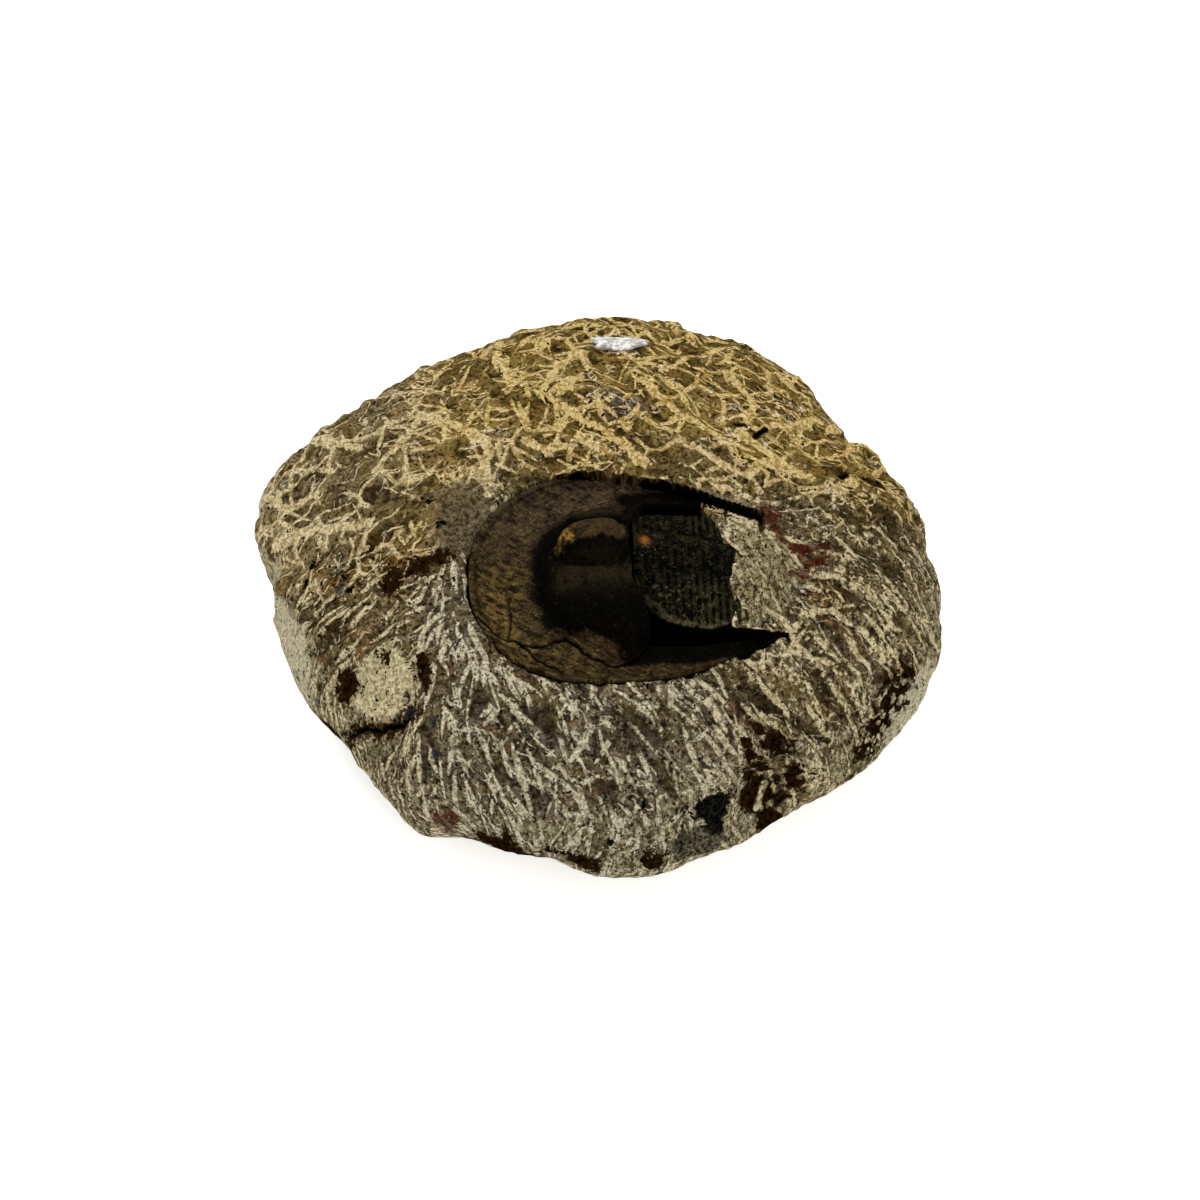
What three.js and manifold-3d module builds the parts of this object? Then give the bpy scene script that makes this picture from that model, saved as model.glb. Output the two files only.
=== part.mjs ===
// A harpetid trilobite fixed in the top of a rounded limestone nodule.
//
// The animal lies on its belly with the head at -X. Its head shield is a wide horseshoe brim round a
// high middle, with two long horns that run back beside the ribbed thorax. The tail stays buried under
// a tongue of rock. Units are millimetres and +Z is up. The origin is the middle of the nodule's
// bounding box in plan, on the surface that the nodule rests on.
import * as THREE from "three";
import { mergeVertices } from "three/addons/utils/BufferGeometryUtils.js";
import Module from "manifold-3d";

const wasm = await Module();
wasm.setup();

// ---- driving dimensions --------------------------------------------------------------------------

const NODULE_TOP = 31; // crown of the nodule
const WAIST = 13; // height at which the nodule is widest
const SHOULDER = { along: 3.2, up: 1.9 }; // powers of the upper edge's rounding
const UNDERSIDE = { along: 4, up: 2, cut: 1.5 }; // powers below the waist, and what the flat base cuts off
const LUMP = { broad: 0.45, small: 0.35, fade: 4 }; // weathered lumps, which fade out over the base
const FIT = 0.3; // gap left between neighbouring solids

// The nodule's widest outline, anticlockwise from +X.
const OUTLINE = [
  [50.3, -3], [49, 7.5], [45.8, 16.5], [39.2, 24], [34.6, 32], [29.3, 38.6], [22, 43.2], [8.3, 48.5],
  [-6, 47.2], [-20, 41.8], [-34.5, 33.2], [-48.2, 18.9], [-50.1, 8], [-47.2, -3], [-44.8, -13],
  [-40.6, -21.5], [-34.6, -28.2], [-30.3, -35.4], [-25, -41.3], [-18.7, -41.8], [-11.6, -44],
  [-5.5, -45.7], [1, -48.4], [7, -48.5], [13.4, -46], [19.8, -42.7], [27.6, -38.2], [38.6, -30.2],
  [45, -22.5], [49.6, -13.5],
];

// Chips and hollows round the edge: a place, the reach of each, and how far its middle is pushed in.
const CHIPS = [
  { at: [24, -42, 17], reach: 9, push: [-1.6, 3.4, -1] }, // deep bite in the near edge
  { at: [21, -36, 25], reach: 7, push: [0, 0, -1.8] }, // channel that runs up from the bite
  { at: [-30, -29, 24], reach: 9, push: [0.6, 0.6, -1.6] }, // broken ledge on the near left
  { at: [-48, -1, 14], reach: 6, push: [1.6, 0, 0] }, // notch in the left side
  { at: [42, 14, 20], reach: 5, push: [-1.8, -1, 0] }, // nick where a crack meets the right edge
  { at: [41, -30, 20], reach: 9, push: [-1, 1, -1] }, // worn hollow on the near right
];

// The fossil's own frame: u runs from head to tail, v to the side at +Y, and heights go from its level.
const FOSSIL = { x: 2, y: -10.4, turn: 2, level: 29 };
const BRIM = { front: 19.8, half: 18.1, back: 24.2, power: 2.2, curl: 0.04, dish: 0.55, lip: 0.5, droop: 1 };
const GIRDER = { front: 10.2, half: 11.6, horn: 6.5 }; // where the brim meets the steep cheeks
const CHEEK = { rise: 3.4, run: 0.42, crown: 2.9 };
const REAR = { middle: 3.9, side: 5.2, ring: 0.9, furrow: 0.45 }; // hind margin of the head
const GLABELLA = { u: -2.4, v: 1.6, long: 5.6, wide: 3.3, high: 3.3, power: 2.6, furrow: 0.7 };
const EYES = { u: -5.2, apart: 4.9, wide: 0.95, high: 0.9 };
const SEGMENT = { count: 15, long: 1.02, rib: 0.4 };
const THORAX = { half: 11, middle: 1.4, axisHalf: 3.2, axisHigh: 1.7, flank: 5.3, end: 1.3 };
const THORAX_FALL = { flank: 0.3, end: 0.08 }; // drop towards the tail, per millimetre
const SWELL = { u: 21, v: -1, long: 6, wide: 8, high: 1.4 }; // rock that covers the tail
const HEAD_FLOOR = -2.2;
const HOLLOW_FLOOR = -2.8; // floor of the hollow round the thorax
const ABOVE_ALL = 12; // a height that clears the fossil

// Plan of the thorax that shows, anticlockwise: near side, the line where the rock covers it, far side.
const THORAX_PLAN = [
  [4.6, -4.4], [6, -6], [8, -7.4], [11, -8.6], [14, -9.2], [17.4, -9.6], [17.4, -6], [18, -2],
  [18.2, 1.5], [17, 5.5], [14.6, 8.4], [12, 9.4], [5.8, 9.9], [4.9, 8],
];

const RESIDUE = { x: 4.2, y: 35, z: 27, half: [4.6, 2.7, 0.6], tilt: 25 }; // crust of white residue

// ---- small helpers -------------------------------------------------------------------------------

const clamp01 = (x) => Math.min(1, Math.max(0, x));
const mix = (a, b, t) => a + (b - a) * t;
const bell = (x) => Math.exp(-x * x);
const range = (count, of) => Array.from({ length: count }, (_, i) => of(i));

function ease(from, to, x) {
  const t = clamp01((x - from) / (to - from));
  return t * t * (3 - 2 * t);
}

function solidOf(points, faces) {
  const geometry = new THREE.BufferGeometry();
  geometry.setAttribute("position", new THREE.Float32BufferAttribute(points.flat(), 3));
  geometry.setIndex(faces.flat());
  return solidFrom(geometry);
}

function solidFrom(geometry) {
  geometry.deleteAttribute("normal");
  geometry.deleteAttribute("uv");
  const merged = mergeVertices(geometry, 1e-4);
  return new wasm.Manifold(
    new wasm.Mesh({
      numProp: 3,
      vertProperties: merged.attributes.position.array,
      triVerts: new Uint32Array(merged.index.array),
    }),
  );
}

function shown(solid) {
  const { vertProperties, triVerts } = solid.getMesh();
  const geometry = new THREE.BufferGeometry();
  geometry.setAttribute("position", new THREE.BufferAttribute(vertProperties, 3));
  geometry.setIndex(new THREE.BufferAttribute(triVerts, 1));
  return geometry;
}

// A closed solid from rows of points, from its top to its bottom. Each row is a loop of equal length
// that runs anticlockwise, but the first and last rows are single points, where the loops close.
function lathed(rows) {
  const around = rows[1].length;
  const points = rows.flat();
  const last = points.length - 1;
  const at = (row, k) => 1 + row * around + (k % around);
  const faces = [];
  for (let k = 0; k < around; k++) {
    faces.push([0, at(0, k), at(0, k + 1)]);
    for (let row = 0; row < rows.length - 3; row++) {
      faces.push([at(row, k), at(row + 1, k), at(row + 1, k + 1)]);
      faces.push([at(row, k), at(row + 1, k + 1), at(row, k + 1)]);
    }
    faces.push([at(rows.length - 3, k), last, at(rows.length - 3, k + 1)]);
  }
  return solidOf(points, faces);
}

// A slab with a grid of points for its upper side and a flat underside at the height floor. Seen from
// above, the grid's rows and then its columns run anticlockwise round its edge.
function slab(grid, floor) {
  const rows = grid.length;
  const columns = grid[0].length;
  const at = (i, j) => i * columns + j;
  const points = grid.flat();
  const faces = [];
  for (let i = 0; i + 1 < rows; i++)
    for (let j = 0; j + 1 < columns; j++)
      faces.push([at(i, j), at(i + 1, j), at(i + 1, j + 1)], [at(i, j), at(i + 1, j + 1), at(i, j + 1)]);

  const edge = [
    ...range(rows, (i) => at(i, 0)),
    ...range(columns - 1, (j) => at(rows - 1, j + 1)),
    ...range(rows - 1, (i) => at(rows - 2 - i, columns - 1)),
    ...range(columns - 2, (j) => at(0, columns - 2 - j)),
  ];
  const apart = (a, b) => Math.hypot(a[0] - b[0], a[1] - b[1]) > 1e-4;
  const loop = edge.filter((k, n) => apart(points[k], points[edge.at(n - 1)]));
  const plan = loop.map((k) => new THREE.Vector2(points[k][0], points[k][1]));
  const under = points.length;
  for (const { x, y } of plan) points.push([x, y, floor]);
  loop.forEach((k, n) => {
    const next = (n + 1) % loop.length;
    faces.push([k, under + n, under + next], [k, under + next, loop[next]]);
  });
  for (const [a, b, c] of THREE.ShapeUtils.triangulateShape(plan, []))
    faces.push([under + a, under + c, under + b]);
  return solidOf(points, faces);
}

// An upright prism over a closed outline of [x, y] points.
function prism(outline, from, to) {
  const shape = new THREE.Shape(outline.map(([x, y]) => new THREE.Vector2(x, y)));
  const geometry = new THREE.ExtrudeGeometry(shape, { depth: to - from, bevelEnabled: false });
  geometry.translate(0, 0, from);
  return solidFrom(geometry);
}

// Moves each point of a closed outline outwards, square to the line between its neighbours.
function grown(outline, amount) {
  const n = outline.length;
  const twiceArea = outline.reduce((sum, [x, y], i) => {
    const [nx, ny] = outline[(i + 1) % n];
    return sum + x * ny - nx * y;
  }, 0);
  const out = Math.sign(twiceArea) * amount;
  return outline.map(([x, y], i) => {
    const [ax, ay] = outline[(i + n - 1) % n];
    const [bx, by] = outline[(i + 1) % n];
    const length = Math.hypot(bx - ax, by - ay);
    return [x + (out * (by - ay)) / length, y - (out * (bx - ax)) / length];
  });
}

// ---- the fossil's own frame ----------------------------------------------------------------------

const turn = THREE.MathUtils.degToRad(FOSSIL.turn);

function toFossil(x, y) {
  const [dx, dy] = [x - FOSSIL.x, y - FOSSIL.y];
  return [dx * Math.cos(turn) + dy * Math.sin(turn), dy * Math.cos(turn) - dx * Math.sin(turn)];
}

function placed(solid) {
  const geometry = shown(solid);
  geometry.rotateZ(turn);
  geometry.translate(FOSSIL.x, FOSSIL.y, FOSSIL.level);
  return geometry;
}

// ---- the nodule ----------------------------------------------------------------------------------

const rim = new THREE.CatmullRomCurve3(
  OUTLINE.map(([x, y]) => new THREE.Vector3(x, y, 0)),
  true,
  "catmullrom",
);

// Height of the weathered surface's lumps.
function lumps(x, y, z) {
  const broad =
    Math.sin(x / 5.1 + 1.3 * Math.sin(y / 7.3)) * Math.cos(y / 4.3 + 0.9 * Math.sin(x / 6.1 + z / 5));
  const small = Math.sin((x + y) / 3.1 + 1.1 * Math.cos(z / 4)) * Math.sin((x - y) / 3.7 + 0.7);
  return (LUMP.broad * broad + LUMP.small * small) * clamp01(z / LUMP.fade);
}

function chipped(point) {
  const moved = [...point];
  for (const { at, reach, push } of CHIPS) {
    const away = Math.hypot(...point.map((p, axis) => p - at[axis])) / reach;
    const share = away < 1 ? (1 - away * away) ** 2 : 0;
    push.forEach((amount, axis) => (moved[axis] += amount * share));
  }
  return moved;
}

// The lumps stand up from the crown and out from the sides.
function weathered(x, y, z) {
  const height = lumps(x, y, z);
  const out = Math.hypot(x, y) || 1;
  const aside = clamp01((NODULE_TOP - z) / (NODULE_TOP - WAIST));
  return chipped([
    x + (x / out) * height * aside,
    y + (y / out) * height * aside,
    z + height * (1 - aside),
  ]);
}

// The rock swells up over the buried tail, behind the thorax.
function swell(x, y) {
  const [u, v] = toFossil(x, y);
  const over = bell((u - SWELL.u) / SWELL.long) * bell((v - SWELL.v) / SWELL.wide);
  return SWELL.high * over * ease(13, 18, u);
}

function noduleSolid() {
  const [around, upper, lower] = [84, 19, 8];
  const spokes = range(around, (k) => rim.getPoint(k / around));
  const quarter = Math.PI / 2;
  const rowsAbove = range(upper, (i) => {
    const angle = ((i + 1) / upper) * quarter;
    const out = Math.sin(angle) ** (2 / SHOULDER.along);
    const up = Math.max(0, Math.cos(angle)) ** (2 / SHOULDER.up);
    return spokes.map((p) => {
      const [x, y] = [p.x * out, p.y * out];
      return weathered(x, y, WAIST + (NODULE_TOP - WAIST + swell(x, y)) * up);
    });
  });
  const rowsBelow = range(lower - 1, (i) => {
    const angle = (1 - (i + 1) / lower) * quarter;
    const out = Math.sin(angle) ** (2 / UNDERSIDE.along);
    const up = Math.cos(angle) ** (2 / UNDERSIDE.up);
    const z = Math.max(0, WAIST - (WAIST + UNDERSIDE.cut) * up);
    return spokes.map((p) => weathered(p.x * out, p.y * out, z));
  });
  return lathed([[[0, 0, NODULE_TOP]], ...rowsAbove, ...rowsBelow, [[0, 0, 0]]]);
}

// ---- the head shield -----------------------------------------------------------------------------

function oval(u, v, front, half, power) {
  return ((Math.abs(u) / front) ** power + (Math.abs(v) / half) ** power) ** (1 / power);
}

// Behind its widest place, the half width of the brim's outer margin, and of the horns' inner edge.
const marginAt = (u) => BRIM.half * Math.cos(BRIM.curl * u);
const innerAt = (u) => marginAt(u) - GIRDER.horn * (1 - u / BRIM.back) ** 0.8;

// The head's hind margin runs back a little towards the horns.
const rearAt = (v) => mix(REAR.middle, REAR.side, ease(4, 11, Math.abs(v)));

// Height of the head shield's upper side.
function headHeight(u, v) {
  const ahead = u < 0;
  const outer = ahead ? oval(u, v, BRIM.front, BRIM.half, BRIM.power) : Math.abs(v) / marginAt(u);
  const inner = ahead ? oval(u, v, GIRDER.front, GIRDER.half, BRIM.power) : Math.abs(v) / innerAt(u);
  if (inner >= 1) {
    // The brim is slightly dished between the girder and its outer lip, and droops along the horns.
    const fromGirder = 1 - 1 / inner;
    const toMargin = 1 / Math.min(1, outer) - 1;
    const across = clamp01(fromGirder / Math.max(1e-6, fromGirder + toMargin));
    const droop = BRIM.droop * (Math.max(0, u) / BRIM.back) ** 2;
    return BRIM.lip * ease(0.8, 1, across) - BRIM.dish * Math.sin(Math.PI * across) - droop;
  }
  // The cheeks rise steeply from the girder, and the glabella stands on them.
  const steep = 1 - (1 - clamp01((1 - inner) / CHEEK.run)) ** 2.2;
  const cheek = CHEEK.rise * steep + CHEEK.crown * (1 - inner * inner);
  const g = GLABELLA;
  const girth = g.wide * (1 + (0.12 * (u - g.u)) / g.long);
  const reach = oval(u - g.u, v - g.v, g.long, girth, g.power);
  const glabella = g.high * Math.sqrt(Math.max(0, 1 - reach * reach));
  const furrow = g.furrow * bell((reach - 1.08) / 0.14);
  const eye = bell(Math.hypot(u - EYES.u, Math.abs(v - g.v) - EYES.apart) / EYES.wide);
  const ring = REAR.ring * bell((u - REAR.middle + 0.4) / 0.6) * ease(4.6, 3.4, Math.abs(v - g.v));
  const border = REAR.furrow * bell((u - rearAt(v) + 1.4) / 0.4);
  return cheek + glabella - furrow + EYES.high * eye + ring - border;
}

// The shield's plan is ruled between its outer margin and the hind margin with the horns' inner edges.
// along runs from -1 at the +v horn's tip, through 0 at the front, to 1 at the other tip.
function outerEdge(along) {
  const side = along < 0 ? 1 : -1;
  const share = 2 * Math.abs(along);
  if (share <= 1) {
    const angle = (share * Math.PI) / 2;
    const [back, out] = [Math.max(0, Math.cos(angle)), Math.sin(angle)].map((f) => f ** (2 / BRIM.power));
    return [-BRIM.front * back, side * BRIM.half * out];
  }
  const u = BRIM.back * (share - 1);
  return [u, side * marginAt(u)];
}

function innerEdge(along) {
  const side = along < 0 ? 1 : -1;
  const share = 2 * Math.abs(along);
  if (share <= 1) {
    const v = innerAt(REAR.side) * share;
    return [rearAt(v), side * v];
  }
  const u = mix(REAR.side, BRIM.back, share - 1);
  return [u, side * innerAt(u)];
}

const ALONG = range(77, (i) => i / 38 - 1);

function headSolid() {
  const across = 18;
  const grid = ALONG.map((along) => {
    const [ou, ov] = outerEdge(along);
    const [iu, iv] = innerEdge(along);
    return range(across, (j) => {
      const t = j / (across - 1);
      const [u, v] = [mix(ou, iu, t), mix(ov, iv, t)];
      return [u, v, headHeight(u, v)];
    });
  });
  return slab(grid, HEAD_FLOOR);
}

const headPlan = () => [...ALONG.map(outerEdge), ...ALONG.slice(1, -1).reverse().map(innerEdge)];

// ---- the thorax ----------------------------------------------------------------------------------

// Where the ribs end on each side. On the near side the foremost ones are drawn in under the head.
const ribEnd = (u, v) => (v < 0 ? 9.9 - 5.7 * Math.exp((4.6 - u) / 4) : 9.7);

// A round axis stands between flanks that turn down to the ribs' ends. Each segment carries one rib,
// and the whole falls towards the buried tail.
function thoraxHeight(u, v) {
  const back = u - REAR.middle;
  const aside = Math.abs(v - THORAX.middle);
  const axisHalf = THORAX.axisHalf - 0.05 * back;
  const axis = (THORAX.axisHigh - 0.04 * back) * Math.sqrt(Math.max(0, 1 - (aside / axisHalf) ** 2));
  const end = ribEnd(u, v) - Math.sign(v) * THORAX.middle;
  const out = clamp01((aside - axisHalf) / (end - axisHalf));
  const flank = THORAX.flank - THORAX_FALL.flank * back;
  const low = THORAX.end - THORAX_FALL.end * back;
  const rib = SEGMENT.rib * Math.abs(Math.sin((Math.PI * back) / SEGMENT.long)) ** 0.7;
  return mix(flank, low, out ** 1.8) + axis + rib;
}

function thoraxSolid() {
  const rowsPerSegment = 3;
  const across = 15;
  const grid = range(SEGMENT.count * rowsPerSegment + 1, (i) => {
    const u = REAR.middle + (i * SEGMENT.long) / rowsPerSegment;
    return range(across, (j) => {
      const v = mix(-THORAX.half, THORAX.half, j / (across - 1));
      return [u, v, thoraxHeight(u, v)];
    });
  });
  return slab(grid, HOLLOW_FLOOR + FIT).intersect(prism(THORAX_PLAN, HOLLOW_FLOOR, ABOVE_ALL));
}

// The hollow between the horns follows their inner edges, then the thorax where the rock covers it.
function hollowPlan() {
  const horn = (from, to, side) => range(9, (i) => {
    const u = mix(from, to, i / 8);
    return [u, side * innerAt(u)];
  });
  return [
    [REAR.middle, 0],
    [rearAt(6), -6],
    ...horn(REAR.side, 23, -1),
    [20.5, -9.9],
    ...grown(THORAX_PLAN, FIT).slice(5, 12),
    ...horn(12.5, REAR.side, 1),
    [rearAt(6), 6],
  ];
}

// ---- the white residue ---------------------------------------------------------------------------

// A thin crust with an uneven plan that lies on the slope of the nodule's far shoulder.
function residueSolid(extra) {
  const [long, wide, high] = RESIDUE.half.map((half) => half + extra);
  const rings = 6;
  const rows = range(rings - 1, (i) => {
    const angle = ((i + 1) / rings) * Math.PI;
    return range(20, (k) => {
      const around = (k / 20) * 2 * Math.PI;
      const uneven = 1 + 0.13 * Math.sin(3 * around + 0.6) + 0.08 * Math.sin(5 * around + 2);
      const out = Math.sin(angle) ** 0.6 * uneven;
      return [long * out * Math.cos(around), wide * out * Math.sin(around), high * Math.cos(angle)];
    });
  });
  return lathed([[[0, 0, high]], ...rows, [[0, 0, -high]]])
    .rotate([-RESIDUE.tilt, 0, 0])
    .translate([RESIDUE.x, RESIDUE.y, RESIDUE.z]);
}

// ---- putting the solids together -----------------------------------------------------------------

const bed = prism(grown(headPlan(), FIT), HEAD_FLOOR - FIT, ABOVE_ALL).add(
  prism(hollowPlan(), HOLLOW_FLOOR, ABOVE_ALL),
);
const nodule = noduleSolid().subtract(solidFrom(placed(bed))).subtract(residueSolid(FIT));

function piece(name, geometry, color, roughness) {
  const mesh = new THREE.Mesh(geometry, new THREE.MeshStandardMaterial({ color, roughness, metalness: 0 }));
  mesh.name = name;
  return mesh;
}

const fossil = new THREE.Group();
fossil.add(
  piece("matrix", shown(nodule), "#8a7a5c", 0.85),
  piece("cephalon", placed(headSolid()), "#4b3d27", 0.5),
  piece("thorax", placed(thoraxSolid()), "#2a2a22", 0.55),
  piece("white_residue", shown(residueSolid(0)), "#e9e4d8", 0.9),
);

export default fossil;
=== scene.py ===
import bpy
import numpy as np
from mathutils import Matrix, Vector


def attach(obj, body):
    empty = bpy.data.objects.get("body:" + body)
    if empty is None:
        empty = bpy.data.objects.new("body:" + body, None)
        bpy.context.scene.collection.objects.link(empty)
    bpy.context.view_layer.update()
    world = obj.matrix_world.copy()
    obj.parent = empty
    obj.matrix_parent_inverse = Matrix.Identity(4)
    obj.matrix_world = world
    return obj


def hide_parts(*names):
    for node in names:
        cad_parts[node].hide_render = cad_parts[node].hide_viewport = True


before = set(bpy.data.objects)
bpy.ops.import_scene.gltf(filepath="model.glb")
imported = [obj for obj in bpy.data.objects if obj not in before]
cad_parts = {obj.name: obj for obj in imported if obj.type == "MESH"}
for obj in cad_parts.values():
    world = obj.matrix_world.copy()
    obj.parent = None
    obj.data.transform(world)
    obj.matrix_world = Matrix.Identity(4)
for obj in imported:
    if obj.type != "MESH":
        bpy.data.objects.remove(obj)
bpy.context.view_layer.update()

# --- The limestone nodule -------------------------------------------------------------------------
# One pebble of grey-brown limestone, about 10 cm across. The stone over the animal was worked away
# with a small pneumatic pen, whose needle left short pale grooves all over the upper side. The rind on
# the sides is cream, powdery and pitted, and the flat underside is what the nodule rests on.

MM = 0.001  # the pieces' sizes are in millimetres, and this makes them metres
NODULE_TOP = 31
WAIST = 13  # height of the widest place
SHOULDER = {"along": 3.2, "up": 1.9}  # powers of the superellipse
UNDERSIDE = {"along": 4, "cut": 1.5, "shrink": 0.334}
OUTLINE = np.array([
    (50.3, -3), (49, 7.5), (45.8, 16.5), (39.2, 24), (34.6, 32), (29.3, 38.6), (22, 43.2), (8.3, 48.5),
    (-6, 47.2), (-20, 41.8), (-34.5, 33.2), (-48.2, 18.9), (-50.1, 8), (-47.2, -3), (-44.8, -13),
    (-40.6, -21.5), (-34.6, -28.2), (-30.3, -35.4), (-25, -41.3), (-18.7, -41.8), (-11.6, -44),
    (-5.5, -45.7), (1, -48.4), (7, -48.5), (13.4, -46), (19.8, -42.7), (27.6, -38.2), (38.6, -30.2),
    (45, -22.5), (49.6, -13.5),
])
CHIPS = [  # a place, the reach of the chip, and how far its middle is pushed in
    ((24, -42, 17), 9, (-1.6, 3.4, -1)),
    ((21, -36, 25), 7, (0, 0, -1.8)),
    ((-30, -29, 24), 9, (0.6, 0.6, -1.6)),
    ((-48, -1, 14), 6, (1.6, 0, 0)),
    ((42, 14, 20), 5, (-1.8, -1, 0)),
    ((41, -30, 20), 9, (-1, 1, -1)),
]
FOSSIL = {"x": 2, "y": -10.4, "turn": np.radians(2), "level": 29}
BRIM = {"front": 19.8, "half": 18.1, "back": 24.2, "power": 2.2, "curl": 0.04, "dish": 0.55, "lip": 0.5,
        "droop": 1}
GIRDER = {"front": 10.2, "half": 11.6, "horn": 6.5}
REAR = {"middle": 2.9, "side": 5.2, "ring": 0.4, "furrow": 0.45}
BED_FLOOR = -2.8
BED_RADIUS = 16.5  # of the circle that the nodule's loops begin from
COLUMNS = 640
INNER_RINGS, OUTER_RINGS, LOWER_RINGS, BASE_RINGS = 20, 112, 18, 3
LATTICE = 32  # cells of random values, after which a noise repeats
CHIP_SIZE = 7.5
LEDGE_CRACK = [  # under the pale slab
    (-35.4, -27.6, 13), (-33, -29, 17), (-30, -29.6, 19.5), (-27, -30.4, 22), (-24.8, -30.6, 24),
]
VEINS = [  # half width, and places in plan
    (1.5, (-14, 31), (-12.5, 25)), (1.3, (-7, 25.5), (-5.5, 29), (-2.5, 31.5)),
    (1.3, (-4.5, 19.5), (-0.5, 16.5), (3, 12.5), (7, 8.5)), (1.1, (-2.5, 14), (1.5, 10.5)),
    (1.2, (-10, 13), (-7, 10.5), (-4.5, 12)), (1.3, (-26, 19.5), (-21, 16.5), (-15.5, 12)),
    (1.1, (-15.5, 12), (-16, 8), (-15.5, 3)), (1, (6.5, 25), (10, 20.5), (12, 18.5)),
    (0.9, (10, 16), (13, 18), (20, 13)), (1, (14.5, 11.5), (18.5, 8), (22.5, 7)),
    (1.4, (21, 14.5), (26, 10.5), (31, 7.5)), (0.9, (6.5, 29), (10.5, 27.5), (16, 33), (21.5, 37.5)),
    (1.1, (20, 28), (24, 22), (21.5, 15.5)), (0.8, (23, 16), (28.5, 19), (33.5, 22.5)),
    (1.3, (-42, 18.5), (-35, 14.5)), (0.8, (-32.5, 9), (-28, 14), (-25.5, 19)),
    (1, (-49, 12), (-45, 6.5), (-40.5, 7.5)), (1.2, (-47, 2.5), (-39.5, 0.7), (-32, -0.5)),
    (0.9, (17.5, 4.3), (21, 3.6), (24, 2)), (0.7, (24, -3.8), (28.5, -5), (31, -5.8)),
    (0.6, (19.3, 0.3), (24, -3.8), (25.8, -7.6)),
    (0.7, (28, -10.6), (33.2, -10), (38.9, -11.5), (42.5, -15.5)),
    (0.7, (26.2, -20), (28.6, -17.3), (33.2, -15.5), (37.8, -17.3), (40.6, -20.6)),
    (0.6, (25.5, -22.5), (30, -22.5), (33, -23)), (0.5, (-24, -4.5), (-20, -1)),
    (0.5, (-17.5, -5), (-16, -1.5), (-12.5, 3)),
]
PITS = [  # radius and place
    (1.3, (-40.2, -4.8, 24)), (1.3, (-41.3, -7.4, 22.5)), (1.2, (-36.8, -11.7, 25)), (1, (-34.4, -11, 26)),
    (1.1, (-22, -2.4, 30)), (1, (-35.5, -8.3, 26)), (1.2, (-39, -12.6, 22)), (0.9, (-11.2, -29, 28)),
    (0.7, (-8, -30.4, 28)), (0.9, (6.5, -36.8, 26)), (1, (6.2, -44.4, 22)), (1, (-6, -45.6, 12.5)),
    (1.1, (-2.5, -47, 14.5)), (1, (2, -47.3, 17.5)), (1.1, (4.7, -29.4, 29.4)), (1.1, (6.2, -29.3, 29.4)),
    (0.8, (-23.7, 1.4, 30)),
]
FURROW = [  # a narrow groove along the near side
    (-17.4, -17.5, 28.4), (-14.5, -21.5, 28.9), (-10.3, -25.4, 29.3), (-4.8, -28, 29.4),
    (5, -29.2, 29.4),
]
BLUE_SPOTS = [  # radius and place
    (1.2, (-36, -10.8, 26)), (1.3, (-25.8, -30, 23.5)), (1.2, (-21.5, -36.5, 23)),
    (1.4, (-21.6, -32.4, 25)),
]
NOTCH_CRACK = [(34.8, 8.3, 27.6), (37.3, 10.9, 25.9), (39.5, 10.3, 24.6), (42, 10.6, 22.5)]
OIL_TRACKS = [  # strength, half width, and places
    (1.4, 1.3, (20.6, -34.6, 22.4), (20.8, -36, 20.5), (21.4, -37.5, 17)),
    (1.3, 1.5, (22.4, -35.8, 20.5), (25.2, -36.6, 17.4), (26, -37.4, 14)),
    (1.2, 1.2, (21.6, -31.6, 25), (22.2, -33.4, 23.6)),
    (1.2, 3.6, (43, -20.5, 19), (41, -24, 18.5), (40, -26.5, 16.5), (38, -30, 15)),
    (1.1, 1.5, (-45, -13, 11.5), (-41.5, -20.5, 10.5), (-37, -25.5, 10.5)),
    (0.75, 2.2, *LEDGE_CRACK),
]
OIL_DROPS = [  # strength, middle, half sizes, the seed of the edge's noise, and how ragged it is
    (2.2, (22.7, -37.6, 15.4), (3.6, 3, 4.2), 24, 0.3),
    (2.2, (24.4, -38.8, 11), (3, 2.8, 3.2), 1, 0.25),
]
OIL_PATCHES = [  # rows as above
    (1.4, (25.2, -34.4, 21.6), (3.6, 2.4, 2.6), 2, 0.6),
    (1.9, (27, -36.2, 16.6), (2.8, 2.2, 3.2), 3, 0.5),
    (1.5, (-29.3, -21.4, 25.3), (2.2, 1.6, 2), 4, 0.5),
    (1.2, (-34.3, -23.8, 20.5), (3, 2.6, 3), 5, 0.6),
    (1.5, (-23.7, -24.5, 26.5), (1.7, 3.8, 2.6), 6, 0.5),
    (0.9, (-30, -9, 28), (10, 4, 5), 28, 1.2),
    (1.1, (-12.5, -44, 10.8), (4.4, 3.4, 2.6), 16, 1.1),
    (0.9, (7.5, -47.5, 15), (4.6, 3.4, 1.8), 17, 1.2),
    (0.8, (-3, -46.8, 13.4), (6, 3.4, 2), 26, 1.1),
    (0.9, (-17.5, -41.8, 8.5), (5, 3.4, 1.8), 18, 0.4),
    (0.9, (17.5, 0.3, 30), (5.5, 2.4, 3), 21, 0.5),
]
OCHRE_PATCHES = [  # iron-stained places, in rows as above
    (1, (-33, -8, 26), (11, 8, 8), 9, 0.6),
    (1.6, (-2, 29.6, 28.5), (2.2, 1.8, 2.2), 20, 0.5),
    (1, (34, -14, 28), (4.5, 3, 4), 22, 0.6),
    (1, (26, 4, 30), (5, 3, 4), 23, 0.6),
]
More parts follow.
